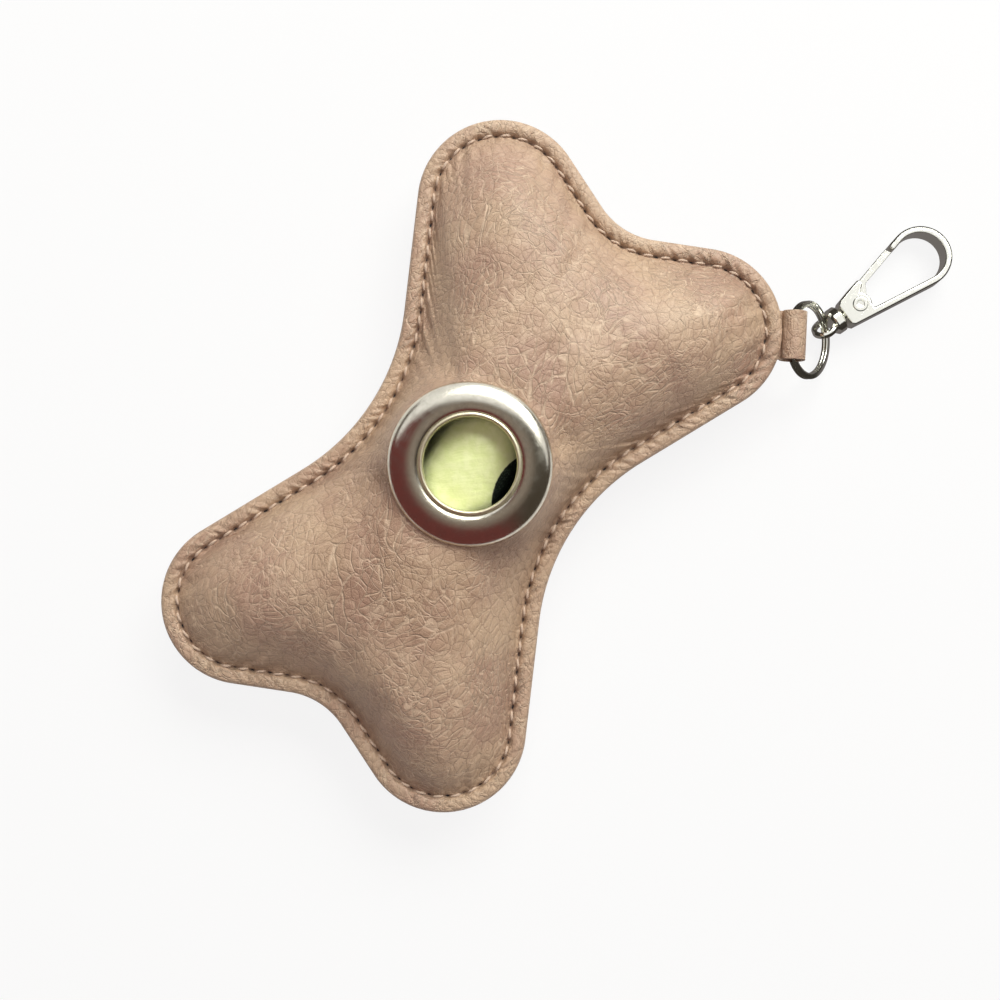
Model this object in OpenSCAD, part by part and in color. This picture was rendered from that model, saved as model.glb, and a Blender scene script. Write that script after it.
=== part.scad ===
// Bone-shaped pouch for a roll of waste bags, with a round window, a zip in the back and a snap hook.
// Millimetres, +Z up, lying on its back. X runs along the bone.
// Origin: the middle of the window, on the leather face the eyelet sits on.

/* [Pouch] */
// Length of the bone over both ends
pouch_l = 160; // [152:1:176]
// Width over the lobes
pouch_w = 100.6; // [97:0.2:108]
// Radius of each lobe
lobe_r = 20.6; // [19:0.2:21.4]
// Width at the waist
waist_w = 59.4; // [58:0.2:64]
// Radius of the hollow curve at the waist
waist_r = 54; // [46:1:56]
// How far each end dips in between its lobes
notch_d = 9.5; // [7.5:0.5:11]
// Radius of the dip in each end
notch_r = 19; // [15:0.5:20]
// Thickness of the leather
leather_t = 1.3; // [1:0.1:1.5]
// Thickness of the lining
lining_t = 0.3; // [0.2:0.05:0.35]
// Distance from the edge to the row of stitches
seam_in = 4; // [3.4:0.1:4.4]
// Thickness of the sewing thread
thread_d = 0.6; // [0.4:0.1:0.8]
// Height of the seam above what the pouch lies on
seam_h = 15.3; // [14.6:0.1:15.9]
// How far the front of each lobe stands out from the seam
front_puff = 8.5; // [7.5:0.5:12]
// How far the back of each lobe stands out from the seam
back_puff = 9.5; // [7:0.5:11]

/* [Window eyelet] */
// Outer diameter of the eyelet
eyelet_d = 39.2; // [37:0.2:40]
// Diameter of the window through it
window_d = 22.2; // [20:0.2:23]
// Height of its domed flange
eyelet_h = 2.7; // [2.2:0.1:3.2]
// Sheet metal it is pressed from
eyelet_t = 0.6; // [0.5:0.05:0.7]

/* [Bag roll] */
// Diameter of the full roll
roll_d = 24; // [20:0.5:24.6]
// Width of the roll
roll_w = 60; // [56:1:62]
// Outer diameter of the card core
core_d = 15; // [12:0.5:17]
// Wall of the card core
core_t = 1.4; // [1:0.1:2]
// Thickness of the loose first bag, folded flat
leader_t = 0.25; // [0.2:0.05:0.3]

/* [Zip] */
// Length of the zip window in the back
zip_window_l = 88; // [84:1:92]
// Width of the zip window
zip_window_w = 11; // [10.4:0.2:12]
// Distance between teeth
tooth_pitch = 2.2; // [1.8:0.1:2.6]
// Width of one zip tape
tape_w = 10.5; // [9.5:0.1:11]
// Length of the zip's pull
pull_l = 16; // [12:0.5:16]
// Width of the pull
pull_w = 5.2; // [4.8:0.1:6]

/* [Tab and ring] */
// Width of the leather tab
tab_w = 12.3; // [11:0.1:12.6]
// Thickness of the tab's leather
tab_t = 1; // [0.8:0.1:1.2]
// Outer diameter of the split ring
ring_d = 20; // [19:0.2:21]
// Width of its band, seen from above
ring_band = 1.6; // [1.4:0.05:1.7]
// Thickness of its two turns together
ring_h = 1.7; // [1.5:0.05:1.8]

/* [Snap hook] */
// Thickness of the hook
hook_h = 5.6; // [5.2:0.1:5.8]
// Outer radius of the bow
bow_r = 8.05; // [7.6:0.05:8.4]
// Width of the hook's bar
bar_w = 1.75; // [1.5:0.05:1.9]
// Diameter of the swivel drum
drum_d = 7.2; // [6.8:0.1:7.3]
// Diameter of the swivel's stem
stem_d = 2.4; // [2:0.1:2.6]
// Diameter of the gate's rivet
rivet_d = 1.9; // [1.7:0.1:2]
// Wire of the gate's spring
spring_wire = 0.4; // [0.3:0.05:0.45]

/* [Hidden] */
$fn = 48;
eps = 0.01;
snug = 0.05;          // running clearance, radial
clear = 0.1;          // layers that lie on each other
soft_gap = 0.2;       // leather to lining

// heights, downwards from the leather face under the eyelet
lining_z = -(leather_t + soft_gap + lining_t);
washer_t = 0.6;
washer_z = lining_z - clear - washer_t;
neck_z = washer_z - eyelet_t + clear;
roll_gap = 0.3;
leader_ride = 0.1;
leader_r = roll_d/2 + leader_ride + leader_t;
roll_z = neck_z - roll_gap - leader_r;

plate_t = 0.6;
tooth_h = 1.2;
tape_t = 0.4;
zip_top = roll_z - leader_r - roll_gap;
teeth_z = zip_top - plate_t - clear - tooth_h/2;
zip_bottom = teeth_z - tooth_h/2 - clear - plate_t;
pull_t = 0.8;
bar_z = zip_bottom - 2*clear - pull_t/2;
crown_t = 0.6;
crown_z = bar_z - pull_t/2 - clear - crown_t;
table_z = crown_z - 2*clear;
seam_z = table_z + seam_h;

// the seam: two leathers with both linings between them
seam_gap = 2*(soft_gap + lining_t + snug);
fold_in = seam_in + 0.8;
lining_in = 1.2;
flat_r = eyelet_d/2 + 0.7;
eyelet_hole_r = window_d/2 + eyelet_t + 0.6;

// the recess in the back that keeps the zip off the table, in leather pared thin round the window
recess = (teeth_z - tape_t/2 - clear) - leather_t - table_z;
pared = 0.5;
recess_flat = 4;
recess_slope = 8.5;
recess_end = 3;       // longer at the ends, where the pull runs
slot_r = zip_window_w/2;
slot_half = zip_window_l/2 - slot_r;
recess_half = slot_half + recess_end;

// ---- outline of the bone: tangent arcs, at any distance in from the edge ----
lobe_c = [pouch_l/2 - lobe_r, pouch_w/2 - lobe_r];
waist_c = [0, waist_w/2 + waist_r];
notch_c = [pouch_l/2 - notch_d + notch_r, 0];
function ang(v) = atan2(v[1], v[0]);
function polar(c, r, a) = c + r*[cos(a), sin(a)];
notch_a = ang(lobe_c - notch_c) + acos((notch_r + lobe_r)/norm(lobe_c - notch_c));
waist_a = ang(lobe_c - waist_c) - acos((waist_r + lobe_r)/norm(lobe_c - waist_c));
lobe_a0 = notch_a - 180;
lobe_a1 = waist_a + 180;
function mid(a, b, f) = a + (b - a)*f;
notch_n = 3;
lobe_n = 10;
waist_n = 4;
function quarter(d) = concat(
    [for (i = [0:notch_n]) polar(notch_c, notch_r + d, 180 + (notch_a - 180)*i/notch_n)],
    [mid(polar(notch_c, notch_r + d, notch_a), polar(lobe_c, lobe_r - d, lobe_a0), 0.5)],
    [for (i = [0:lobe_n]) polar(lobe_c, lobe_r - d, lobe_a0 + (lobe_a1 - lobe_a0)*i/lobe_n)],
    [for (f = [1/3, 2/3])
        mid(polar(lobe_c, lobe_r - d, lobe_a1), polar(waist_c, waist_r + d, waist_a), f)],
    [for (i = [0:waist_n]) polar(waist_c, waist_r + d, waist_a + (-90 - waist_a)*i/waist_n)]);
quarter_n = notch_n + lobe_n + waist_n + 6;
function outline(d) = let (q = quarter(d), n = quarter_n) concat(
    q,
    [for (i = [n - 2:-1:0]) [-q[i][0], q[i][1]]],
    [for (i = [1:n - 1]) [-q[i][0], -q[i][1]]],
    [for (i = [n - 2:-1:1]) [q[i][0], -q[i][1]]]);

edge = outline(0);
fold = outline(fold_in);
around = len(fold);
function next(i) = (i + 1) % around;
function prev(i) = (i + around - 1) % around;
// inward direction square to the edge, at each point of the fold
inward = [for (i = [0:around - 1])
    let (t = fold[next(i)] - fold[prev(i)]) [-t[1], t[0]]/norm(t)];

// a circle, and a stadium along X, met by the ray through each point of the fold
function on_circle(r) = [for (p = fold) r*p/norm(p)];
function stadium_hit(p, half, r) = let (u = p/norm(p), s = abs(u[1]) < eps ? 1e6 : r/abs(u[1]))
    s*abs(u[0]) <= half ? s*u :
    let (c = half*abs(u[0])) (c + sqrt(c*c - half*half + r*r))*u;
function on_stadium(half, r) = [for (p = fold) stadium_hit(p, half, r)];

function ease(v) = let (c = min(1, max(0, v))) c*c*(3 - 2*c);

// The stuffed shape of each panel: height along its ridge and over the lobes, half the ridge's
// length, width of the rise from the seam, the ring the flat ends at, where the height starts
// to fall to either side of the ridge and over what stretch, and the radius kept level.
front_full = -(seam_z + seam_gap/2 + leather_t);
front_ridge = 38;
front_rise = 13;
front_from = 6;
front_over = 20;
front_shape = [front_full, front_puff, front_ridge, front_rise, on_circle(flat_r),
    front_from, front_over, flat_r];
back_full = seam_z - seam_gap/2 - leather_t - table_z;
back_ridge = 30;
back_rise = 8;
back_from = 21.5;
back_over = 28;
back_shape = [back_full, back_puff, back_ridge, back_rise,
    on_stadium(recess_half, slot_r + recess_slope), back_from, back_over, 0];
level_to_fall = 4;
function off_ridge(p, half) = norm([max(0, abs(p[0]) - half), p[1]]);
function puffed(p, s) = s[0]
    + (s[1] - s[0])*ease((off_ridge(p, s[2]) - s[5])/s[6])*ease((norm(p) - s[7])/level_to_fall);
function rise_w(i, s) =
    min(s[3], (norm(fold[i]) - norm(s[4][i]))*abs(inward[i]*(fold[i]/norm(fold[i]))));

// One ring of a bulged panel. q: share of the rise done, drop: depth under the outer face.
// The bulge leaves the fold steeply and meets the flat smoothly.
function bulge_ring(q, drop, s) = [for (i = [0:around - 1])
    let (w = rise_w(i, s),
         p0 = fold[i] + inward[i]*w*q,
         h = puffed(p0, s),
         a = atan(2*h*(1 - q)/w),
         side = q == 0 ? drop*tan(a/2) : drop*sin(a),
         down = q == 0 ? drop : drop*cos(a),
         p = p0 + inward[i]*side)
    [p[0], p[1], h*(1 - (1 - q)*(1 - q)) - down]];
function flat_ring(pts, drop, s, lift = 0) = [for (p = pts) [p[0], p[1], puffed(p, s) - drop - lift]];
function edge_ring(d, drop) = [for (p = outline(d)) [p[0], p[1], -drop]];
function between(a, b, f) = [for (i = [0:around - 1]) mid(a[i], b[i], f)];
function flat_edge(s) = [for (i = [0:around - 1]) fold[i] + inward[i]*rise_w(i, s)];

// Rings of a panel from the edge inwards, at a depth under the outer face.
function panel_rings(drop, from, s) = concat(
    [edge_ring(from, drop)],
    [for (q = [0, 0.25, 0.6, 1]) bulge_ring(q, drop, s)],
    [flat_ring(between(flat_edge(s), s[4], 0.5), drop, s)]);

// Closed band through a list of rings, joined end to end. The first half of the list is the outer
// face and the second half the inner one, cut into triangles the same way so that layers nest.
module band(rings, flip = false) {
    n = around;
    m = len(rings);
    polyhedron(points = [for (r = rings) each r], faces = [
        for (k = [0:m - 1], i = [0:n - 1])
            let (a = k*n + i, b = k*n + next(i), c = ((k + 1) % m)*n + next(i), d = ((k + 1) % m)*n + i,
                 f = k < m/2 ? [[a, c, b], [a, d, c]] : [[a, d, b], [b, d, c]])
            each (flip ? [backwards(f[0]), backwards(f[1])] : f)], convexity = 10);
}
function backwards(v) = [for (i = [len(v) - 1:-1:0]) v[i]];

// the front ends in a level disc under the eyelet
function front_rings(drop, from) = concat(panel_rings(drop, from, front_shape),
    [for (r = [flat_r, eyelet_hole_r]) flat_ring(on_circle(r), drop, front_shape)]);
module front_skin(outer, inner, from)
    translate([0, 0, -front_full])
        band(concat(front_rings(outer, from), backwards(front_rings(inner, from))));
module back_skin(rings) translate([0, 0, table_z + back_full]) mirror([0, 0, 1]) band(rings);

// ---- pouch ----
module front_panel() color([0.79, 0.66, 0.55])
    front_skin(0, leather_t, 0);

function back_rings(drop, from) = concat(
    panel_rings(drop, from, back_shape), [flat_ring(back_shape[4], drop, back_shape)]);
function recess_rings(drop, lift) = [
    flat_ring(on_stadium(recess_half, slot_r + recess_flat), drop, back_shape, lift),
    flat_ring(on_stadium(slot_half, slot_r), drop, back_shape, lift)];
module back_panel() color([0.77, 0.64, 0.53])
    back_skin(concat(
        back_rings(0, 0), recess_rings(0, recess + pared),
        backwards(recess_rings(leather_t, recess)), backwards(back_rings(leather_t, 0))));

// room for the root of the tab between the linings
module tab_root_room() on_tab()
    translate([lobe_r - seam_in - 2.4, -tab_w/2 - 0.4, -seam_gap])
        cube([seam_in + 6, tab_w + 0.8, 2*seam_gap]);

module front_lining() color([0.16, 0.16, 0.17]) difference() {
    front_skin(leather_t + soft_gap, leather_t + soft_gap + lining_t, lining_in);
    tab_root_room();
}

module back_lining() color([0.16, 0.16, 0.17]) difference() {
    back_skin(concat(back_rings(leather_t + soft_gap, lining_in),
        backwards(back_rings(leather_t + soft_gap + lining_t, lining_in))));
    tab_root_room();
}

// a row of thread on the flat of the seam, lying on the face at height z
function thread_ring(d, z) = [for (p = outline(d)) [p[0], p[1], z]];
module thread_row(z) band([
    thread_ring(seam_in - thread_d/2, z), thread_ring(seam_in + thread_d/2, z),
    thread_ring(seam_in + thread_d/2, z + thread_d/2),
    thread_ring(seam_in - thread_d/2, z + thread_d/2)], true);
module front_edge_stitching() color([0.93, 0.83, 0.76])
    thread_row(-front_full + snug);
module back_edge_stitching() color([0.93, 0.83, 0.76])
    thread_row(table_z + back_full - thread_d/2 - snug);

// ---- eyelet ----
module eyelet() color([0.8, 0.78, 0.74]) {
    r0 = window_d/2;
    r1 = eyelet_d/2;
    crest = mid(r0, r1, 0.4);
    bead = 0.55;
    dome_n = 14;
    // outer face of the dome from the rim to the bead, then the bead, the bore and the curled foot
    dome = [for (i = [0:dome_n]) let (a = 180*i/dome_n)
        [crest + (r1 - crest)*cos(a)*(a < 90 ? 1 : (crest - r0 - 2*bead)/(r1 - crest)),
            a < 90 ? eyelet_h*sin(a) : mid(eyelet_h*0.62, eyelet_h, sin(a))]];
    beads = [for (a = [60:30:180]) [r0 + bead + bead*cos(a), eyelet_h*0.62 + bead*sin(a)]];
    rotate_extrude($fn = 96) difference() {
        polygon(concat([[r1, 0]], dome, beads,
            [[r0, neck_z], [r0 + 2.4, neck_z], [r0 + 2.4, neck_z + eyelet_t - clear],
             [r0 + eyelet_t, neck_z + eyelet_t - clear], [r0 + eyelet_t, 0]]));
        // the flange is a hollow pressing
        polygon([for (a = [0:15:180]) [mid(r0 + 2*bead + eyelet_t, r1 - eyelet_t, 0.5)
            + (r1 - r0 - 2*bead - 2*eyelet_t)/2*cos(a)*0.96, (eyelet_h - eyelet_t)*sin(a) - eps]]);
    }
}

module eyelet_washer() color([0.72, 0.7, 0.67])
    translate([0, 0, washer_z]) difference() {
        cylinder(h = washer_t, r = flat_r - 3.4, $fn = 72);
        translate([0, 0, -1]) cylinder(h = washer_t + 2, r = window_d/2 + eyelet_t + clear, $fn = 72);
    }

// ---- bag roll ----
module along_x(l) translate([-l/2, 0, 0]) rotate([0, 90, 0]) children();

module roll_core() color([0.62, 0.5, 0.38])
    translate([0, 0, roll_z]) along_x(roll_w) difference() {
        cylinder(h = roll_w, d = core_d, $fn = 48);
        translate([0, 0, -1]) cylinder(h = roll_w + 2, d = core_d - 2*core_t, $fn = 48);
    }

module bag_roll() color([0.9, 0.95, 0.72])
    translate([0, 0, roll_z]) along_x(roll_w) difference() {
        cylinder(h = roll_w, d = roll_d, $fn = 72);
        translate([0, 0, -1]) cylinder(h = roll_w + 2, r = core_d/2 + snug, $fn = 72);
    }

// the loose end of the outermost bag, lying round the top of the roll
module first_bag() color([0.92, 0.97, 0.74])
    translate([0, 0, roll_z]) rotate([0, 90, 0]) rotate([0, 0, 115]) translate([0, 0, -roll_w/2])
        rotate_extrude(angle = 130, $fn = 96)
            translate([roll_d/2 + leader_ride, 0]) square([leader_t, roll_w]);

// ---- zip ----
tape_gap = 1.2;
row_in = 0.4;
row_w = 1.7;
row_l = zip_window_l - 8;
module zip_tape(s) color([0.74, 0.62, 0.52])
    translate([-zip_window_l/2 - 3, s > 0 ? tape_gap : -tape_gap - tape_w, teeth_z - tape_t/2])
        cube([zip_window_l + 6, tape_w, tape_t]);
module left_zip_tape() zip_tape(1);
module right_zip_tape() zip_tape(-1);

// one row of teeth, with the cord at its root, let into the edge of the tape
module zip_row(s) color([0.7, 0.6, 0.5]) mirror([0, s > 0 ? 0 : 1, 0]) {
    n = floor(row_l/tooth_pitch);
    difference() {
        union() {
            translate([-row_l/2, row_in + 0.9, teeth_z - tooth_h/2]) cube([row_l, row_w - 0.9, tooth_h]);
            for (i = [0:n - 1])
                translate([-row_l/2 + (i + (s > 0 ? 0.05 : 0.5))*tooth_pitch, row_in, teeth_z - tooth_h/2])
                    cube([tooth_pitch*0.45, 1.1, tooth_h]);
        }
        translate([-row_l/2 - 1, tape_gap - snug, teeth_z - tape_t/2 - snug])
            cube([row_l + 2, row_w, tape_t + 2*snug]);
    }
}
module left_zip_teeth() zip_row(1);
module right_zip_teeth() zip_row(-1);

stop_l = 2;
module zip_stop(x) color([0.75, 0.73, 0.7])
    translate([x, 0, teeth_z]) difference() {
        translate([-stop_l/2, -2.4, -tooth_h/2]) cube([stop_l, 4.8, tooth_h]);
        for (s = [0, 1]) mirror([0, s, 0])
            translate([-stop_l, tape_gap - snug, -tape_t/2 - snug]) cube([2*stop_l, 3, tape_t + 2*snug]);
    }
stop_x = row_l/2 + stop_l/2 + 0.2;
module open_end_stop() zip_stop(-stop_x);
module closed_end_stop() zip_stop(stop_x);

slider_l = 8.4;
slider_w = 7.4;
slider_x = row_l/2 - slider_l/2 - 0.4;
post = 0.5;
module slider_plate(z) translate([0, 0, z]) difference() {
    translate([-slider_l/2, -slider_w/2, 0]) cube([slider_l, slider_w, plate_t]);
    for (s = [0, 1]) mirror([0, s, 0])
        translate([slider_l/2 - 2.6, slider_w/2, -1]) rotate([0, 0, -24]) cube([6, 3, plate_t + 2]);
}
module zip_slider() color([0.78, 0.76, 0.73])
    translate([slider_x, 0, 0]) {
        slider_plate(zip_top - plate_t);
        slider_plate(zip_bottom);
        // the thin post between the two rows, and the lips that keep the teeth in
        translate([slider_l/2 - 2.4, -post/2, zip_bottom]) cube([1.8, post, zip_top - zip_bottom]);
        for (s = [0, 1]) mirror([0, s, 0])
            for (z = [zip_bottom, teeth_z + tape_t/2 + clear])
                translate([-slider_l/2, slider_w/2 - 1.1, z])
                    cube([slider_l - 3.2, 0.8, z < teeth_z ? teeth_z - tape_t/2 - clear - z : zip_top - z]);
        // bridge that holds the pull
        translate([-2.4, -1.2, crown_z]) cube([4.8, 2.4, crown_t]);
        for (x = [-2.4, 1.5]) translate([x, -1.2, crown_z]) cube([0.9, 2.4, zip_bottom - crown_z + eps]);
    }

// the pull lies back over the closed zip
module zip_pull() color([0.78, 0.76, 0.73])
    translate([slider_x, 0, bar_z]) {
        rotate([90, 0, 0]) translate([0, 0, -pull_w/2]) cylinder(h = pull_w, d = pull_t, $fn = 24);
        difference() {
            union() {
                translate([-pull_l + pull_w/2, -pull_w/2, -pull_t/2])
                    cube([pull_l - pull_w/2, pull_w, pull_t]);
                translate([-pull_l + pull_w/2, 0, -pull_t/2]) cylinder(h = pull_t, d = pull_w, $fn = 36);
            }
            translate([-3.4, -1.7, -1]) cube([3.4 + 1, 3.4, 2]);
            translate([-pull_l + pull_w/2, 0, -1]) cylinder(h = 2, d = pull_w*0.42, $fn = 24);
        }
    }

module stadium(half, r) {
    square([2*half, 2*r], center = true);
    for (s = [-1, 1]) translate([s*half, 0]) circle(r, $fn = 48);
}
module zip_window_stitching() color([0.93, 0.83, 0.76])
    translate([0, 0, table_z + recess + pared - thread_d/2 - snug]) linear_extrude(thread_d/2) difference() {
        stadium(slot_half, slot_r + 2.2 + thread_d/2);
        stadium(slot_half, slot_r + 2.2 - thread_d/2);
    }

// ---- tab and split ring ----
tab_a = -60;              // the tab points straight out of the lobe, this far round from X
ring_tilt = 46;           // the ring slopes from the tab down to the table
ring_r = ring_d/2 - ring_band/2;
// the ring's arc inside the tab lies evenly either side of the tunnel's axis
ring_in = ring_d/2 - ring_band;
ring_sag = ring_r - (ring_d/2 + sqrt(ring_in*ring_in - tab_w*tab_w/4))/2;
ring_chamfer = 0.3;
tunnel_r = norm([ring_sag + ring_band/2, ring_h/2 - ring_chamfer]) + 2*snug;
tab_axis = lobe_r + 3.05;

module on_tab() translate([lobe_c[0], -lobe_c[1], seam_z]) rotate([0, 0, tab_a]) children();

module tab_loop() color([0.79, 0.66, 0.55])
    on_tab() rotate([90, 0, 0]) translate([0, 0, -tab_w/2]) linear_extrude(tab_w) difference() {
        union() {
            intersection() {
                translate([tab_axis, 0]) circle(tunnel_r + tab_t, $fn = 64);
                translate([lobe_r + 0.15, -10]) square([20, 20]);
            }
            translate([lobe_r - seam_in - 1, -(seam_gap/2 - clear)])
                square([seam_in + 1.6, seam_gap - 2*clear]);
        }
        translate([tab_axis, 0]) circle(tunnel_r, $fn = 64);
    }

module on_ring() on_tab() translate([tab_axis, 0, 0]) rotate([0, ring_tilt, 0])
    translate([ring_r - ring_sag, 0, 0]) children();

module split_ring() color([0.78, 0.77, 0.75])
    on_ring() difference() {
        rotate_extrude($fn = 96) for (s = [-1, 1])
            translate([ring_r, s*(ring_h/4 - eps)]) polygon([
                for (c = [[1, 1], [-1, 1], [-1, -1], [1, -1]], k = [0, 1])
                    let (f = (c[0]*c[1] > 0) == (k == 0))
                    [c[0]*(ring_band/2 - (f ? 0 : ring_chamfer/2)),
                     c[1]*(ring_h/4 - (f ? ring_chamfer/2 : 0))]]);
        // the two cut ends of the coil
        for (s = [0, 1]) rotate([0, 0, 150 + 70*s]) mirror([0, 0, s])
            translate([ring_r - ring_band, -0.2, 0.1]) cube([2*ring_band, 0.4, ring_h]);
    }

// ---- swivel and snap hook ----
eye_back = 3.1;           // drum to the middle of the eye
eye_turn = 27;            // how far round the ring from its far end the eye sits
eye_lean = 40;            // the eye leans on the slope of the ring
hook_a = -22.3;
hook_roll = -6;
eye_r = 3.4;
eye_hole_r = 2.1;
eye_t = 1.9;
in_ring = [ring_r - ring_sag + ring_r*cos(eye_turn), ring_r*sin(eye_turn)];
out_r = tab_axis + in_ring[0]*cos(ring_tilt);
eye_xy = [lobe_c[0], -lobe_c[1]] + out_r*[cos(tab_a), sin(tab_a)] + in_ring[1]*[-sin(tab_a), cos(tab_a)];
hook_z = table_z + 3.85;
drum_front = 1.7;
drum_rear = 1.2;
wall_x = 2.45;
wall_t = 1.6;
slot_x = wall_x + wall_t;
slot_h = 3.2;
head_t = 0.6;
rivet_p = [7.2, -0.3];
gate_slope = 15;
bow_c = [27.3, 0.9];
gate_root = [10.6, 3.95];
gate_tip_x = 22;
ear_r = 2.2;

module on_hook() translate([eye_xy[0], eye_xy[1], hook_z]) rotate([0, 0, hook_a])
    translate([eye_back, 0, 0]) children();

module swivel_eye() color([0.75, 0.74, 0.72])
    on_hook() difference() {
        union() {
            // eye
            translate([-eye_back, 0, 0]) rotate([eye_lean, 0, 0]) rotate([90, 0, 0])
                rotate_extrude($fn = 48) polygon([
                    [eye_hole_r, -0.5], [eye_hole_r + 0.4, -eye_t/2], [eye_r - 0.4, -eye_t/2],
                    [eye_r, -0.5], [eye_r, 0.5], [eye_r - 0.4, eye_t/2],
                    [eye_hole_r + 0.4, eye_t/2], [eye_hole_r, 0.5]]);
            // drum, stem and peened head
            rotate([0, 90, 0]) rotate_extrude($fn = 48) polygon([
                [0, -drum_rear], [drum_d/2 - 0.7, -drum_rear], [drum_d/2, -drum_rear + 0.7],
                [drum_d/2, drum_front - 0.4], [drum_d/2 - 0.4, drum_front], [stem_d/2, drum_front],
                [stem_d/2, slot_x + clear], [stem_d/2 + 0.25, slot_x + clear],
                [stem_d/2 + 0.25, slot_x + clear + head_t], [0, slot_x + clear + head_t]]);
        }
        // the eye is open where the drum is turned down behind it
        translate([-eye_back, 0, 0]) rotate([eye_lean, 0, 0]) rotate([90, 0, 0])
            translate([0, 0, -3]) cylinder(h = 6, r = eye_hole_r, $fn = 48);
    }

module rolled() on_hook() rotate([hook_roll, 0, 0]) children();

spine_p = [3.2, -3.95];
boss_r = 3.1;
gate_dir = [cos(gate_slope), sin(gate_slope)];
gate_side = [-sin(gate_slope), cos(gate_slope)];
spine_a = ang(bow_c - spine_p) - asin(bow_r/norm(bow_c - spine_p));
spine_side = [-sin(spine_a), cos(spine_a)];
nose_p = bow_c + bow_r*gate_side;
nose_l = (nose_p[0] - gate_tip_x)/cos(gate_slope) - 0.3;
function arc(c, r, a0, a1, n) = [for (i = [0:n]) polar(c, r, a0 + (a1 - a0)*i/n)];

// One outline: along the spine, round the bow to the nose, back inside, then round the cheeks.
module hook_outline() polygon(concat(
    [spine_p],
    arc(bow_c, bow_r, spine_a - 90, gate_slope + 90, 36),
    [nose_p - nose_l*gate_dir, nose_p - nose_l*gate_dir - bar_w*gate_side],
    arc(bow_c, bow_r - bar_w, gate_slope + 90, spine_a - 90, 36),
    [spine_p + 6.4*[cos(spine_a), sin(spine_a)] + bar_w*spine_side],
    arc(rivet_p, boss_r, -32, 50, 10),
    [[10, 3], [11, 3.7], [10.6, 5.3], [8.1, 4.75], [3.6, 3.5], [wall_x, 2.6], [wall_x, -3.2]]));

module hook_body() color([0.77, 0.76, 0.74])
    rolled() difference() {
        translate([0, 0, -hook_h/2]) linear_extrude(hook_h) hook_outline();
        // slot between the cheeks for the gate
        translate([slot_x, rivet_p[1] - ear_r - 0.2, -slot_h/2]) cube([12, 9, slot_h]);
        translate([rivet_p[0], rivet_p[1], -hook_h]) cylinder(h = 2*hook_h, d = rivet_d, $fn = 36);
        translate([wall_x - 1, 0, 0]) rotate([0, 90, 0])
            cylinder(h = wall_t + 2, r = stem_d/2 + snug, $fn = 36);
    }

ear_h = slot_h - 4*snug;
ear_t = 0.6;
gate_l = (gate_tip_x - gate_root[0])/cos(gate_slope);
module gate() color([0.77, 0.76, 0.74])
    rolled() difference() {
        translate([0, 0, -ear_h/2]) linear_extrude(ear_h) polygon(concat(
            arc(rivet_p, ear_r, 120, 330, 20),
            [gate_root + 1.2*gate_dir - bar_w/2*gate_side,
             gate_root + gate_l*gate_dir - bar_w/2*gate_side,
             gate_root + (gate_l - 0.5)*gate_dir + bar_w/2*gate_side,
             gate_root + bar_w/2*gate_side]));
        // the pressing is hollow round the spring
        translate([rivet_p[0] - 4, rivet_p[1] - 3, -ear_h/2 + ear_t]) cube([6.6, 5.4, ear_h - 2*ear_t]);
        translate([rivet_p[0], rivet_p[1], -hook_h]) cylinder(h = 2*hook_h, r = rivet_d/2 + snug, $fn = 36);
    }

rivet_head_d = 3.9;
rivet_head_t = 0.35;
module gate_rivet() color([0.8, 0.79, 0.77])
    rolled() translate([rivet_p[0], rivet_p[1], 0]) rotate_extrude($fn = 48) polygon([
        [0, -hook_h/2], [rivet_head_d/4, -hook_h/2 - 0.1], [rivet_head_d/4, -hook_h/2 - rivet_head_t],
        [rivet_head_d/2 - 0.2, -hook_h/2 - rivet_head_t], [rivet_head_d/2, -hook_h/2 - 0.15],
        [rivet_head_d/2, -hook_h/2], [rivet_d/2, -hook_h/2], [rivet_d/2, hook_h/2],
        [rivet_head_d/2, hook_h/2], [rivet_head_d/2, hook_h/2 + 0.15],
        [rivet_head_d/2 - 0.2, hook_h/2 + rivet_head_t], [rivet_head_d/4, hook_h/2 + rivet_head_t],
        [rivet_head_d/4, hook_h/2 + 0.1], [0, hook_h/2]]);

module gate_spring() color([0.6, 0.6, 0.6])
    rolled() translate([rivet_p[0], rivet_p[1], 0]) {
        coil_in = rivet_d/2 + 2*snug;
        w = spring_wire;
        // three close turns
        rotate_extrude($fn = 36) polygon(concat(
            [for (k = [-1, 0, 1], e = [-1, 1]) [coil_in + (e*k > 0 ? 0.12*w : 0), (k + e*0.45)*w]],
            [for (k = [1, 0, -1], e = [1, 0, -1])
                [coil_in + w - (e == 0 ? 0 : 0.25*w), (k + e*0.42)*w]]));
        // one leg bears on the end wall, the other on the gate
        translate([0, -coil_in - w/2, -0.9*w]) rotate([0, -90, 0]) cylinder(h = 2.2, d = 0.8*w, $fn = 16);
        translate([coil_in + w/2, 0, 0.9*w]) rotate([-90, 0, 0]) cylinder(h = 2.1, d = 0.8*w, $fn = 16);
    }

front_panel();
back_panel();
front_lining();
back_lining();
front_edge_stitching();
back_edge_stitching();
eyelet();
eyelet_washer();
roll_core();
bag_roll();
first_bag();
left_zip_tape();
right_zip_tape();
left_zip_teeth();
right_zip_teeth();
open_end_stop();
closed_end_stop();
zip_slider();
zip_pull();
zip_window_stitching();
tab_loop();
split_ring();
swivel_eye();
hook_body();
gate();
gate_rivet();
gate_spring();
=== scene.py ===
import math

import bmesh
import bpy
import numpy as np
from mathutils import Matrix, Vector


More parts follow.
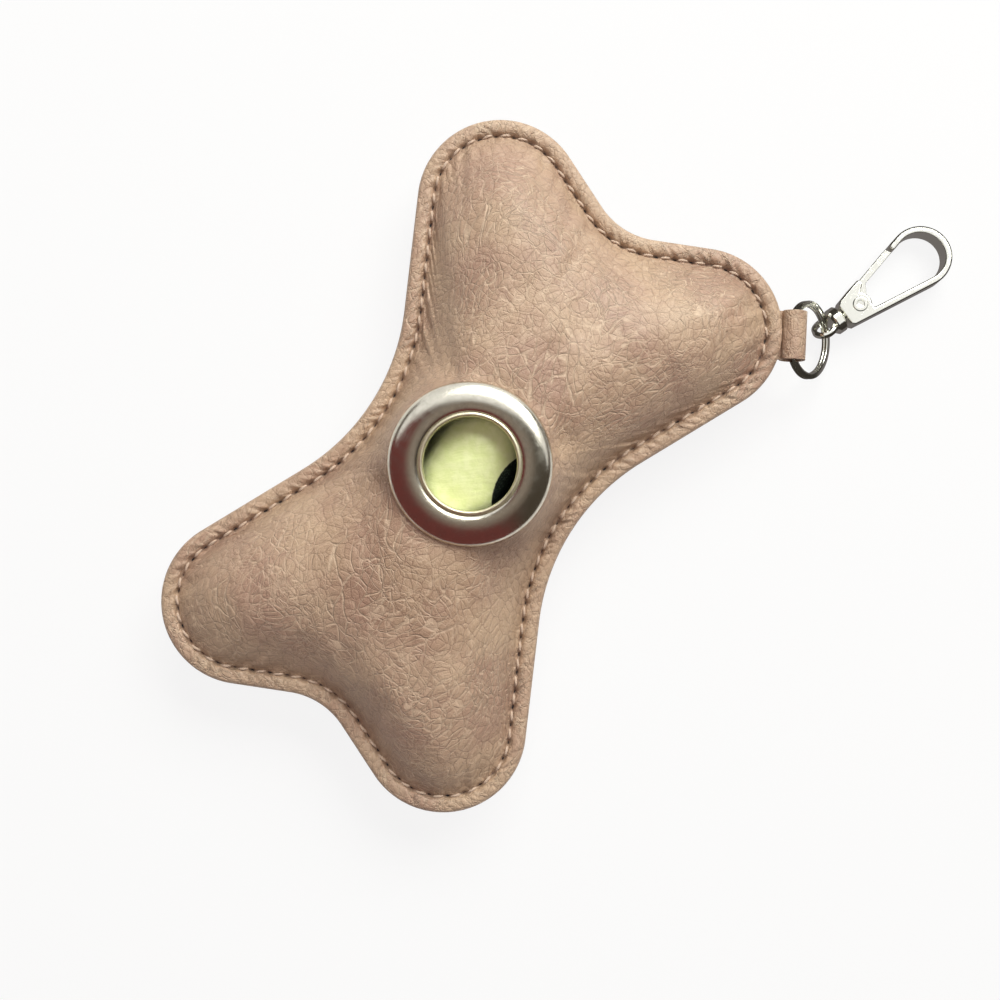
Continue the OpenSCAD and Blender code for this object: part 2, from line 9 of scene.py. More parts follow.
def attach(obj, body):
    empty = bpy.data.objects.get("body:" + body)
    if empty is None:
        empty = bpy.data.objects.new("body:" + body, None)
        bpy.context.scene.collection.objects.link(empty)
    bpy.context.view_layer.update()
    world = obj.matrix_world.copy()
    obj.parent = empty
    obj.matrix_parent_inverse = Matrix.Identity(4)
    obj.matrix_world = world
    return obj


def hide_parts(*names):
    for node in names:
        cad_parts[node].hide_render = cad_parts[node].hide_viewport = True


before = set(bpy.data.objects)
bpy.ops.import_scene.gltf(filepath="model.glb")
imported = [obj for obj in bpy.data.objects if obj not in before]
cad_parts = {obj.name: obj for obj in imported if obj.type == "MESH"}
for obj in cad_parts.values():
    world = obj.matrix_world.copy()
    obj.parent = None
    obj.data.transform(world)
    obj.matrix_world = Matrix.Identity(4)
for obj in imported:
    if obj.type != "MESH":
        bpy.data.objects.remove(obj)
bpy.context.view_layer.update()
MM = 0.001

# ---- sizes, in millimetres
POUCH_L, POUCH_W, LOBE_R = 160.0, 100.6, 20.6
WAIST_W, WAIST_R, NOTCH_D, NOTCH_R = 59.4, 54.0, 9.5, 19.0
LEATHER, LINING, SOFT_GAP = 1.3, 0.3, 0.2
SEAM_IN, FOLD_IN = 4.0, 4.8
SEAM_Z, TABLE_Z, ROLL_Z = -17.5, -32.8, -15.65
SEAM_GAP = 1.1
FRONT_FACE = SEAM_Z + SEAM_GAP / 2 + LEATHER
BACK_FACE = SEAM_Z - SEAM_GAP / 2 - LEATHER
FRONT_FULL, BACK_FULL, BACK_END_FULL = -FRONT_FACE, BACK_FACE - TABLE_Z, 9.5
WINDOW_R, EYELET_R, EYELET_H, EYELET_T = 11.1, 19.6, 2.7, 0.6
LOBE_C = np.array([POUCH_L / 2 - LOBE_R, POUCH_W / 2 - LOBE_R])
WAIST_C = np.array([0.0, WAIST_W / 2 + WAIST_R])
NOTCH_C = np.array([POUCH_L / 2 - NOTCH_D + NOTCH_R, 0.0])
ZIP_SLOT_R, ZIP_SLOT_HALF, ZIP_RECESS_END = 5.5, 38.5, 3.0
TEETH_Z, RECESS, PARED = -29.6, 1.6, 0.5
ROLL_HALF = 30.0
# how deep thread lies in the leather, and the share of its own room that a lining keeps
THREAD_BED, LINING_FIT = 0.02, 0.8


# ---- wiring of finishes
class Wire:
    """One output of a finish's nodes; sums of wires add Math nodes."""

    def __init__(self, finish, socket):
        self.finish, self.socket = finish, socket

    def sum(self, operation, *values):
        return self.finish.node("ShaderNodeMath", {"operation": operation}, dict(enumerate(values)))

    def __add__(self, o):
        return self.sum("ADD", self, o)

    __radd__ = __add__

    def __sub__(self, o):
        return self.sum("SUBTRACT", self, o)

    def __rsub__(self, o):
        return self.sum("SUBTRACT", o, self)

    def __mul__(self, o):
        return self.sum("MULTIPLY", self, o)

    __rmul__ = __mul__

    def most(self, o):
        return self.sum("MAXIMUM", self, o)

    def size(self):
        return self.sum("ABSOLUTE", self)

    def sine(self):
        return self.sum("SINE", self)

    def beside(self, out):
        """Another output of the same node."""
        return Wire(self.finish, self.socket.node.outputs[out])

    def between(self, low, high, at_low=0.0, at_high=1.0):
        """Eases from at_low to at_high as the value goes from low to high."""
        return self.finish.node("ShaderNodeMapRange",
                                {"interpolation_type": "SMOOTHSTEP", "clamp": True},
                                {0: self, 1: low, 2: high, 3: at_low, 4: at_high})


class Finish:
    """A material in the making; the world's light is made in the same way."""

    def __init__(self, name, world=False):
        self.material = (bpy.data.worlds if world else bpy.data.materials).new(name)
        self.material.use_nodes = True
        self.tree = self.material.node_tree
        self.shader = self.tree.nodes["Background" if world else "Principled BSDF"]
        self.last = self.tree.nodes["World Output" if world else "Material Output"]

    def node(self, kind, settings=None, values=None, out=0):
        made = self.tree.nodes.new(kind)
        for key, value in (settings or {}).items():
            setattr(made, key, value)
        for key, value in (values or {}).items():
            self.join(made.inputs[key], value)
        return Wire(self, made.outputs[out])

    def join(self, socket, value):
        if isinstance(value, Wire):
            self.tree.links.new(value.socket, socket)
        else:
            socket.default_value = value

    def place(self, scale=1000.0, turn=0.0, stretch=(1, 1, 1)):
        """Where a point is on the object, in millimetres by default."""
        at = self.node("ShaderNodeTexCoord", out="Object")
        if turn:
            at = self.node("ShaderNodeMapping", None, {0: at, 2: (0, 0, turn)})
        return self.node("ShaderNodeVectorMath", {"operation": "MULTIPLY"},
                         {0: at, 1: tuple(scale * s for s in stretch)})

    def noise(self, at, scale, detail=2.0, rough=0.5, out="Fac"):
        return self.node("ShaderNodeTexNoise", {"noise_dimensions": "3D"},
                         {"Vector": at, "Scale": scale, "Detail": detail, "Roughness": rough}, out)

    def shifted(self, at, by, amount):
        """at, moved by a noise colour, up to amount each way."""
        middle = self.node("ShaderNodeVectorMath", {"operation": "SUBTRACT"},
                           {0: by, 1: (0.5, 0.5, 0.5)})
        return self.node("ShaderNodeVectorMath", {"operation": "MULTIPLY_ADD"},
                         {0: middle, 1: (2 * amount,) * 3, 2: at})

    def cracks(self, at, scale, width):
        """1 in the middle of each cell of a crazed pattern, 0 in the creases between."""
        edge = self.node("ShaderNodeTexVoronoi",
                         {"feature": "DISTANCE_TO_EDGE", "voronoi_dimensions": "3D"},
                         {"Vector": at, "Scale": scale, "Randomness": 1.0})
        return edge.between(0.0, width)

    def from_point(self, at, point):
        return self.node("ShaderNodeVectorMath", {"operation": "DISTANCE"}, {0: at, 1: point}, 1)

    def blend(self, a, b, share):
        return self.node("ShaderNodeMix", {"data_type": "RGBA"}, {0: share, 6: a, 7: b}, 2)

    def bump(self, height, distance, strength):
        return self.node("ShaderNodeBump", None,
                         {"Height": height, "Distance": distance, "Strength": strength})

    def glow(self, colour):
        return self.node("ShaderNodeEmission", None, {"Color": colour, "Strength": 1.0})

    def between_shaders(self, share, plain, other):
        """The surface goes from the plain shader to the other one."""
        self.join(self.last.inputs["Surface"],
                  self.node("ShaderNodeMixShader", None, {0: share, 1: plain, 2: other}))

    def mark(self, name):
        """A value that a mesh carries on its points."""
        return self.node("ShaderNodeAttribute", {"attribute_name": name}, out="Fac")

    def set(self, **values):
        names = {"colour": "Base Color", "rough": "Roughness", "metal": "Metallic",
                 "normal": "Normal", "specular": "Specular IOR Level",
                 "coat": "Coat Weight", "coat_rough": "Coat Roughness",
                 "sheen": "Sheen Weight", "sheen_rough": "Sheen Roughness"}
        for key, value in values.items():
            self.join(self.shader.inputs[names[key]], value)
        return self.material


def rgb(r, g, b):
    """A colour as read off a swatch, 0 to 255, turned to the light it sends back."""
    def light(v):
        v /= 255
        return v / 12.92 if v <= 0.04045 else ((v + 0.055) / 1.055) ** 2.4
    return (light(r), light(g), light(b), 1.0)


# ---- finishes
def leather_finish(name):
    f = Finish(name)
    at = f.place()
    drift = f.noise(at, 0.07, 1.0, out="Color")
    loose = f.shifted(f.shifted(at, drift, 3.0), f.noise(at, 0.8, 2.0, out="Color"), 0.07)
    # the hair grain, small cells, and larger cells with fine dark cracks and rounded backs
    grain = f.noise(at, 2.1, 4.0, 0.68)
    cell = 0.36
    tiny, mid = f.cracks(loose, 0.85, 0.11), f.cracks(loose, cell, 0.065)
    pillow = f.cracks(loose, cell, 0.40)

    def pulled_creases(turn, wide, long, width, drifting):
        """Creases that run long one way, where the hide was pulled. Sizes in millimetres."""
        along = f.place(turn=turn, stretch=(1 / long, 1 / wide, 1))
        return f.cracks(f.shifted(along, drift, drifting), 1.0, width)

    # long steep creases in the marked places, and two families that cross elsewhere
    steep = pulled_creases(-0.52, 2.7, 15.0, 0.09, 1.5)
    rising = pulled_creases(0.21, 3.4, 9.5, 0.066, 1.9)
    falling = pulled_creases(-1.36, 3.8, 9.0, 0.062, 2.3)
    on_steep = f.mark("pulled").most(f.noise(at, 0.045, 2.0).between(0.54, 0.62))
    lively = f.noise(at, 0.06, 2.0).between(0.35, 0.62, 0.35, 1.0)
    crossed = (1.0 - rising).most((1.0 - falling) * 0.8) * (1.0 - on_steep * 0.8) * lively
    lines = ((1.0 - steep) * on_steep).most(crossed)
    height = mid * 0.10 + tiny * 0.08 + pillow * 0.17 + grain * 0.26 - lines * 0.31
    # redder in patches, painted shade in the cracks and in the seam's groove, pale along the
    # creases, painted light on the flat border
    patches = f.noise(at, 0.055, 3.0).between(0.3, 0.7)
    colour = f.blend(rgb(202, 173, 145), rgb(181, 146, 125), patches)
    for tint, share in ((rgb(160, 128, 110), grain.between(0.50, 0.72) * 0.42),
                        # painted shade in the cracks
                        (rgb(138, 104, 88), (1.0 - mid) * 0.38),
                        # painted light: the flat flange is paler
                        (rgb(216, 190, 162), f.mark("painted_flange_light") * 0.14),
                        (rgb(238, 214, 186), lines * 0.52),
                        # painted shade in the seam's groove, the needle holes and along the fold
                        (rgb(96, 64, 50), f.mark("hollow"))):
        colour = f.blend(colour, tint, share)
    rough = f.noise(at, 0.6, 2.0).between(0.3, 0.7, 0.38, 0.50) + lines * 0.08
    return f.set(colour=colour, rough=rough, specular=0.5, coat=0.38, coat_rough=0.40,
                 normal=f.bump(height, 0.00062, 1.0))


def darker(colour, share):
    return tuple(c * share for c in colour[:3]) + (1.0,)


def metal_finish(name, colour, rough, brushed=0.0, dulled=0.86):
    f = Finish(name)
    at = f.place()
    smear = f.noise(at, 0.5, 3.0, 0.6)
    wear = f.noise(f.place(stretch=(1, 1, 0.3)), 3.5, 3.0, 0.65)
    tone = f.blend(colour, darker(colour, dulled), smear.between(0.35, 0.75))
    bent = f.shifted(f.place(stretch=(0.25, 1, 1)), f.noise(at, 0.3, 2.0, out="Color"), 2.0)
    scuffs = f.cracks(bent, 0.35, 0.012)
    pits = f.noise(at, 5.0, 2.0, 0.7)
    height = wear * 0.3 + scuffs * 0.12 + pits * brushed * 1.6
    return f.set(colour=tone, metal=1.0, rough=smear.between(0.3, 0.75, rough * 0.8, rough * 1.3),
                 normal=f.bump(height, 0.00003, 0.6))


def cloth_finish(name, colour, pitch, rough=0.85, turn=0.0, depth=0.00008):
    """Plain weave: threads over and under each other, pitch in millimetres."""
    f = Finish(name)
    at = f.place(turn=turn)
    wobble = f.shifted(at, f.noise(at, 0.5, 2.0, out="Color"), 0.06)
    warp = f.node("ShaderNodeSeparateXYZ", None, {0: wobble})
    half_turn = math.pi / pitch
    over = (warp * half_turn).sine() * (warp.beside(1) * half_turn).sine()
    fuzz = f.noise(at, 6.0, 3.0, 0.6)
    height = over.size() * 0.8 + fuzz * 0.4
    # painted shade: the cloth is darker in the gaps where a thread dips under
    tone = f.blend(darker(colour, 0.72), colour, height.between(0.1, 0.9))
    return f.set(colour=tone, rough=rough, sheen=0.25, sheen_rough=0.5,
                 normal=f.bump(height, depth, 0.8))


def two_tone(name, grain, dark, pale, rough, depth, strength):
    """A plain finish between two colours, raised a little where it is pale."""
    f = Finish(name)
    share = grain(f)
    return f.set(colour=f.blend(dark, pale, share), rough=rough,
                 normal=f.bump(share, depth, strength))


leather = leather_finish("pebbled_leather")
leather_edge = two_tone("cut_leather_edge",
                        lambda f: f.noise(f.place(stretch=(1, 1, 3)), 2.4, 4.0, 0.7),
                        rgb(168, 140, 118), rgb(206, 182, 158), 0.8, 0.00025, 0.8)
satin_nickel = metal_finish("satin_nickel", rgb(221, 216, 202), 0.21, 0.45)
# painted reflection: the bead is tinted cream as if it mirrored the film
rolled_rim = metal_finish("rolled_rim", rgb(228, 222, 196), 0.46, 0.3)
polished_nickel = metal_finish("polished_nickel", rgb(240, 239, 230), 0.11, 0.0, 0.95)
zip_metal = metal_finish("zip_nickel", rgb(206, 202, 194), 0.24)
spring_wire = metal_finish("spring_wire", rgb(170, 170, 172), 0.28, 0.5)
thread = cloth_finish("sewing_thread", rgb(232, 206, 184), 0.28, 0.6, 0.5, 0.00010)
lining_cloth = cloth_finish("lining_weave", rgb(46, 47, 50), 0.45)
tape_cloth = cloth_finish("zip_tape_weave", rgb(178, 152, 130), 0.55)


def film_finish():
    f = Finish("bag_film")
    at = f.place()
    long = f.noise(f.place(turn=0.9, stretch=(0.14, 1, 1)), 0.55, 3.0, 0.6)
    crinkle = f.noise(at, 0.5, 3.0, 0.55)
    bent = f.shifted(f.place(turn=0.5, stretch=(0.5, 1, 1)),
                     f.noise(at, 0.15, 2.0, out="Color"), 4.0)
    folds = f.cracks(bent, 0.12, 0.03)
    height = long * 0.9 + crinkle * 0.5 + folds * 0.05
    # a plain dark round spot printed on each bag
    away = f.from_point(f.place(stretch=(1, 1, 0)), (1.87, -20.6, 0))
    spot = 1.0 - (away + f.noise(at, 1.2, 2.0) * 0.3).between(13.3, 13.6)
    specks = f.noise(at, 2.4, 3.0, 0.75).between(0.52, 0.66)
    ink = f.blend(rgb(24, 30, 27), rgb(98, 116, 100), specks * 0.7)
    film = f.blend(rgb(232, 243, 172), rgb(243, 251, 192), crinkle.between(0.3, 0.7))
    return f.set(colour=f.blend(film, ink, spot), rough=0.42, specular=0.4,
                 normal=f.bump(height, 0.0005, 0.5))


bag_film = film_finish()


def rolled_finish():
    """The ends of the many turns of film on the roll."""
    f = Finish("rolled_film")
    from_axis = f.from_point(f.place(stretch=(0, 1, 1)), (0, 0, ROLL_Z))
    turns = (from_axis * 16.0).sine() + f.noise(f.place(), 0.8, 2.0) * 0.6
    tone = f.blend(rgb(196, 210, 140), rgb(234, 244, 186), turns.between(-0.6, 1.2))
    return f.set(colour=tone, rough=0.5, normal=f.bump(turns, 0.00008, 0.6))


rolled_film = rolled_finish()
roll_card = two_tone("roll_card", lambda f: f.noise(f.place(stretch=(0.4, 1, 1)), 1.6, 4.0, 0.65),
                     rgb(150, 122, 92), rgb(182, 152, 118), 0.9, 0.0001, 0.7)
zip_nylon = two_tone("zip_nylon", lambda f: f.noise(f.place(), 1.4, 3.0),
                     rgb(160, 134, 112), rgb(182, 156, 134), 0.45, 0.00005, 0.5)


# ---- outline of the bone
def unit(v):
    return v / np.linalg.norm(v, axis=-1, keepdims=True)


def quarter_curve(count):
    """Seam line of one quarter, from the dip in the end to the waist, and its inward direction."""
    def meeting(centre, radius, side):
        """Direction from an arc's centre to where it runs into the lobe's arc."""
        x, y = LOBE_C - centre
        return math.atan2(y, x) + side * math.acos((radius + LOBE_R) / math.hypot(x, y))

    notch_a, waist_a = meeting(NOTCH_C, NOTCH_R, 1), meeting(WAIST_C, WAIST_R, -1)
    spans = [(NOTCH_C, NOTCH_R + SEAM_IN, math.pi, notch_a, 1),
             (LOBE_C, LOBE_R - SEAM_IN, notch_a - math.pi, waist_a + math.pi, -1),
             (WAIST_C, WAIST_R + SEAM_IN, waist_a, -math.pi / 2, 1)]
    points, inward = [], []
    for centre, radius, a0, a1, way in spans:
        a = np.linspace(a0, a1, count)[:, None]
        out = np.hstack([np.cos(a), np.sin(a)])
        points.append(centre + radius * out)
        inward.append(way * out)
    return np.vstack(points), np.vstack(inward)


def seam_curve(count):
    """count points at equal steps round the whole seam, anticlockwise from the +X end."""
    p, n = [np.vstack([v, (v * (-1, 1))[::-1], v * (-1, -1), (v * (1, -1))[::-1]])
            for v in quarter_curve(400)]
    step = np.linalg.norm(np.diff(np.vstack([p, p[:1]]), axis=0), axis=1)
    keep = step > 1e-6
    p, n, step = p[keep], n[keep], step[keep]
    run = np.concatenate([[0], np.cumsum(step)])
    want = np.linspace(0, run[-1], count, endpoint=False)

    def at_wanted(v):
        v = np.vstack([v, v[:1]])
        return np.column_stack([np.interp(want, run, v[:, k]) for k in (0, 1)])

    return at_wanted(p), unit(at_wanted(n)), run[-1]


AROUND = 1040
SEAM, INWARD, SEAM_LENGTH = seam_curve(AROUND)
STITCHES = 110


def inset(d):
    """The pouch's outline, moved in from the edge by d."""
    return SEAM + INWARD * (d - SEAM_IN)


def ease(v):
    v = np.clip(v, 0, 1)
    return v * v * (3 - 2 * v)


def waves(points, scale, seed):
    """Smooth random heights, about -1 to 1, at points in the plane; scale in millimetres."""
    made = np.random.default_rng(seed)
    out = np.zeros(points.shape[:-1])
    for k in range(3):
        for _ in range(7):
            a = made.uniform(0, 2 * math.pi)
            f = 2 * math.pi / scale * 2**k * made.uniform(0.7, 1.3)
            out += np.sin((points[..., 0] * math.cos(a) + points[..., 1] * math.sin(a)) * f
                          + made.uniform(0, 2 * math.pi)) * 0.5**k / 3.2
    return out


def round_trip(seed, wavelength, spread):
    """A smooth random line round the seam, about -1 to 1, that closes on itself."""
    made = np.random.default_rng(seed)
    s = np.arange(AROUND) / AROUND * 2 * math.pi
    middle = SEAM_LENGTH / wavelength
    out = np.zeros(AROUND)
    for _ in range(16):
        k = max(1, int(round(middle * made.uniform(1 - spread, 1 + spread))))
        out += np.sin(k * s + made.uniform(0, 2 * math.pi))
    return out / 4.0


# ---- stuffed shape of a panel
def filled(points, fixed, height, push, reach=60.0):
    """Height of a skin that is held at the fixed points and pushed out from inside."""
    rows, cols = points.shape[:2]
    index = np.arange(rows * cols).reshape(rows, cols)
    a, b = index[:-1], np.roll(index, -1, 1)[:-1]
    c, d = np.roll(index, -1, 1)[1:], index[1:]
    tris = np.vstack([np.stack(t, -1).reshape(-1, 3) for t in ((a, b, c), (a, c, d))])
    flat = points.reshape(-1, 2)
    i, j, w = [], [], []
    area = np.zeros(len(flat))
    for k in range(3):
        p, q, r = tris[:, k], tris[:, (k + 1) % 3], tris[:, (k + 2) % 3]
        u, v = flat[q] - flat[p], flat[r] - flat[p]
        cross = np.abs(u[:, 0] * v[:, 1] - u[:, 1] * v[:, 0]) + 1e-9
        i.append(q), j.append(r), w.append((u * v).sum(1) / cross / 2)
        area += np.bincount(p, cross / 6, len(flat))
    i, j, w = np.concatenate(i), np.concatenate(j), np.concatenate(w)
    w = np.maximum(w, 0.0)
    own = np.bincount(i, w, len(flat)) + np.bincount(j, w, len(flat)) + area / reach**2
    free = ~fixed.reshape(-1)
    h = height.reshape(-1).copy()
    pull = area * push.reshape(-1)

    def held_back(x):
        around = np.bincount(i, w * x[j], len(flat)) + np.bincount(j, w * x[i], len(flat))
        return own * x - around

    # conjugate gradients, each point weighed by its own share
    r = (pull - held_back(h)) * free
    z = r / own
    p, rz = z.copy(), r @ z
    for _ in range(900):
        q = held_back(p) * free
        step = rz / (p @ q)
        h += step * p
        r -= step * q
        if np.abs(r / own).max() < 1e-4:
            break
        z = r / own
        p, rz = z + (r @ z) / rz * p, r @ z
    return h.reshape(rows, cols)


def off_axis(p):
    """Distance from the roll's axis in the plane, level with the roll or past its ends."""
    return np.hypot(np.maximum(0, np.abs(p[..., 0]) - ROLL_HALF), p[..., 1])


def ring_of(radius):
    """A circle with one point in line with each point of the seam."""
    return SEAM * (radius / np.linalg.norm(SEAM, axis=1))[:, None]


def stadium_of(half, r):
    """The same for a slot with round ends: half its straight length, and its radius."""
    u = unit(SEAM)
    s = r / np.maximum(np.abs(u[:, 1]), 1e-6)
    c = half * np.abs(u[:, 0])
    straight = s * np.abs(u[:, 0]) <= half
    bent = c + np.sqrt(np.maximum(c * c - half * half + r * r, 0))
    return np.where(straight, s, bent)[:, None] * u


def linked(name, data):
    obj = bpy.data.objects.new(name, data)
    bpy.context.scene.collection.objects.link(obj)
    return obj


def mesh_piece(name, points, faces, *finishes, which=None):
    """A smooth mesh from points in millimetres; which names the finish of each face."""
    mesh = bpy.data.meshes.new(name)
    mesh.from_pydata([tuple(p) for p in np.asarray(points) * MM], [], faces)
    for finish in finishes:
        mesh.materials.append(finish)
    if which is not None:
        mesh.polygons.foreach_set("material_index", np.asarray(which, np.int32))
    mesh.polygons.foreach_set("use_smooth", np.full(len(mesh.polygons), True))
    mesh.update()
    return linked(name, mesh)


def fit(obj, body, node):
    """Hangs a piece on the body it rides on, and hides the CAD piece it stands for."""
    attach(obj, body)
    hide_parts(node)
    return obj


def closed_band(rings):
    """Faces of a tube through rings of points, the last joined to the first."""
    n, m = rings[0].shape[0], len(rings)
    k, i = np.meshgrid(np.arange(m), np.arange(n), indexing="ij")
    nxt, up = (i + 1) % n, (k + 1) % m
    quads = np.stack([k * n + i, k * n + nxt, up * n + nxt, up * n + i], -1)
    return np.vstack(rings), quads.reshape(-1, 4)


# rings of the flange, in millimetres from the edge, and of the panel inside, as shares of its width
ROWS_FLANGE = np.array([0.0, 0.12, 0.4, 0.8, 1.2, 1.6, 2.0, 2.4, 2.8, 3.2,
                        3.5, 3.75, 4.0, 4.25, 4.5])
INNER_STEPS = np.unique(np.concatenate([np.linspace(0, 0.30, 26), np.linspace(0.30, 1, 40)]))
# a wave along the seam: 1 at the middle of each stitch, -1 at the needle's hole between two
STITCH_WAVE = np.cos(2 * math.pi * (np.arange(AROUND) / AROUND * STITCHES))


def dip(x, width):
    return np.exp(-((x / width) ** 2))


def leaning(line, lean, d):
    """A line round the seam, carried along it with the distance from the edge."""
    return np.interp((np.arange(AROUND) + d * lean) % AROUND, np.arange(AROUND), line)


def seam_relief(d, strength, seed):
    """Height of the flange above flat: a soft roll between the edge and the thread, pulled down by
    every stitch, with short wrinkles across it."""
    across = np.clip(d / SEAM_IN, 0, 1.3)
    plump = 0.55 * np.sin(np.clip(across / 0.96, 0, 1) * math.pi) ** 0.8
    groove = -0.50 * dip(d - SEAM_IN, 0.42)
    pinch = -0.9 * (0.5 - 0.5 * STITCH_WAVE) ** 2 * dip(d - SEAM_IN + 0.15, 0.55)
    coarse = leaning(round_trip(seed, 2.1, 0.45), 2.2, d)
    fine = leaning(round_trip(seed + 1, 1.15, 0.4), -3.0, d)
    # the wrinkles fade towards the edge and past the thread
    middle = 2.6
    shown = np.clip(across * 1.6, 0.15, 1) * np.exp(-((d - middle) / middle) ** 2)
    pucker = (0.30 * coarse + 0.13 * fine) * shown
    return strength * (plump + groove + pinch + pucker)


def stretched(end, steps, held_end, push):
    """Rings of points from the seam's fold to the end line, and their height when filled."""
    start = inset(FOLD_IN)
    grid = start[None] + (end - start)[None] * steps[:, None, None]
    fixed = np.zeros(grid.shape[:2], bool)
    fixed[0] = fixed[-1] = True
    held = np.zeros(grid.shape[:2])
    held[-1] = held_end
    depth = np.linalg.norm(grid - grid[0][None], axis=-1)
    return grid, filled(grid, fixed, held, push(grid)), depth


def panel_rings(grid, height, depth, face, out, seam, edge_drop, thread_hollow, fold_hollow):
    """The rings of a panel and the painted shade along its seam: its flange first, then its filled
    part.
    """
    rings, hollow = [], []
    for d in ROWS_FLANGE:
        z = face + out * seam_relief(d, *seam)
        if d < 0.5:
            z = z - out * edge_drop * (1 - d / 0.5) ** 2
        rings.append(np.column_stack([inset(d), z]))
        hollow.append(thread_hollow(d) * np.ones(AROUND))
    settle = seam_relief(FOLD_IN, *seam)[None] * np.exp(-depth / 1.1)
    for k in range(len(grid)):
        rings.append(np.column_stack([grid[k], face + out * (height[k] + settle[k])]))
        hollow.append(fold_hollow * np.exp(-depth[k] / 0.5))
    return rings, hollow


def pouch_front():
    grid, h, depth = stretched(ring_of(EYELET_R + 0.1), INNER_STEPS, FRONT_FULL,
                               lambda at: 0.040 + 0.045 * ease((off_axis(at) - 16) / 26))
    from_eyelet = np.linalg.norm(grid, axis=-1) - EYELET_R
    # slack in the hide, folds running in from the seam, and the ripple of the stitches
    open_side = ease(depth / 6) * ease((from_eyelet - 1) / 7)
    h = h + 0.34 * waves(grid, 34, 3) * open_side + 0.10 * waves(grid, 13, 5) * open_side
    near = np.exp(-depth / 5.5) * ease(depth / 1.5) * ease((from_eyelet - 0.5) / 3)
    h = h + near * (0.42 * round_trip(21, 9.0, 0.5) + 0.24 * round_trip(22, 4.4, 0.4))[None]
    # painted shade along the thread line, darkest in the needle holes between stitches, and a
    # little along the fold
    between = (0.5 - 0.5 * STITCH_WAVE) ** 3
    rings, hollow = panel_rings(grid, h, depth, FRONT_FACE, 1, (1.0, 11), 0.35,
                                lambda d: dip(d - SEAM_IN, 0.40) * (0.04 + 0.74 * between), 0.07)
    for r in (17.6, 15.5, 12.4):
        rings.append(np.column_stack([ring_of(r), np.full(AROUND, -0.02)]))
        hollow.append(np.zeros(AROUND))
    return rings, np.concatenate(hollow)


def back_fall(at):
    """How much less full the back is past the ends of the roll, as a height below zero."""
    return (BACK_END_FULL - BACK_FULL) * ease((off_axis(at) - 21.5) / 28)


def pouch_back():
    recess = ZIP_SLOT_HALF + ZIP_RECESS_END
    end = stadium_of(recess, ZIP_SLOT_R + 8.5)
    grid, h, depth = stretched(end, INNER_STEPS[::2], BACK_FULL + back_fall(end),
                               lambda at: np.full(at.shape[:2], 0.075))
    near = np.exp(-depth / 4.5) * ease(depth / 1.5)
    h = np.minimum(h, BACK_FULL)
    h = h + near * (0.35 * round_trip(31, 8.0, 0.5) + 0.2 * round_trip(32, 4.2, 0.4))[None]
    # painted shade along the thread line and along the fold inside it
    rings, hollow = panel_rings(grid, np.minimum(h, BACK_FULL), depth, BACK_FACE, -1, (0.8, 41),
                                0.3, lambda d: 0.7 * dip(d - SEAM_IN - 0.1, 0.35), 0.5)
    # down into the zip's recess, and through the slot in it
    slot = ZIP_SLOT_HALF
    for share, half, r in ((0.5, recess, 6.2), (1, recess, 4), (1, slot + 1.5, 2.6),
                           (1, slot, 1.2), (1, slot, 0.25), (0.98, slot, 0)):
        xy = stadium_of(half, ZIP_SLOT_R + r)
        rings.append(np.column_stack([xy, TABLE_Z - back_fall(xy) + (RECESS + PARED) * share]))
        hollow.append(np.zeros(AROUND))
    return rings, np.concatenate(hollow)


def outward(rings, up):
    """Unit normals of rings of points, on the side that up names."""
    along = np.roll(rings, -1, 1) - np.roll(rings, 1, 1)
    normal = unit(np.cross(along, np.gradient(rings, axis=0)))
    return normal * np.sign(normal[..., 2:3] * up + 1e-9)


def face_outwards(obj):
    b = bmesh.new()
    b.from_mesh(obj.data)
    bmesh.ops.remove_doubles(b, verts=b.verts, dist=1e-7)
    bmesh.ops.recalc_face_normals(b, faces=b.faces)
    b.to_mesh(obj.data)
    b.free()
    obj.data.update()


def shell(name, rings, hollow, node, up):
    """A leather skin with thickness, from the rings of its outer face and the painted shade along
    its seam.
    """
    outer = np.stack(rings)
    m, n = outer.shape[:2]
    # the inside has a third of the rings, and lies straight below the flange
    pick = np.unique(np.concatenate([[0], np.arange(2, m - 2, 3), [m - 3, m - 2, m - 1]]))
    thick = LEATHER * 0.94
    inner = outer[pick] - outward(outer, up)[pick] * thick
    flat = (pick < len(ROWS_FLANGE))[:, None, None]
    inner = np.where(flat, outer[pick] - [0, 0, up * thick], inner)
    # the cut edge is a little proud between the faces
    edge = []
    for proud, down in ((0.10, 0.7), (0.12, 0.3)):
        edge.append(outer[0] - np.column_stack([INWARD * proud, np.full(n, up * LEATHER * down)]))
    points, quads = closed_band([*outer, *inner[::-1], *edge])
    which = np.zeros(len(quads), int)
    which[(m - 1) * n:] = 1
    obj = mesh_piece(name, points, quads.tolist(), leather, leather_edge, which=which)

    def mark(label, values):
        """Values for the first points of the piece, and 0 for the rest."""
        values = np.concatenate([values, np.zeros(len(points) - len(values))])
        marked = obj.data.attributes.new(label, "FLOAT", "POINT").data
        marked.foreach_set("value", values.astype(np.float32))

    def spot(x, y, r):
        return np.exp(-((points[:, 0] - x) ** 2 + (points[:, 1] - y) ** 2) / r**2)

    # painted light on the flat flange, fading out just before the thread
    painted_flange_light = 1 - ease((ROWS_FLANGE - 3.3) / 0.9)
    # painted shade along the seam, carried on the points
    mark("hollow", hollow)
    pulled = 0.9 * spot(44, 38, 11) + 0.9 * spot(-42, 30, 14) + 0.5 * spot(58, 40, 9)
    mark("pulled", np.clip(pulled, 0, 1))
    mark("painted_flange_light", np.repeat(painted_flange_light, n))
    face_outwards(obj)
    return fit(obj, "pouch", node)


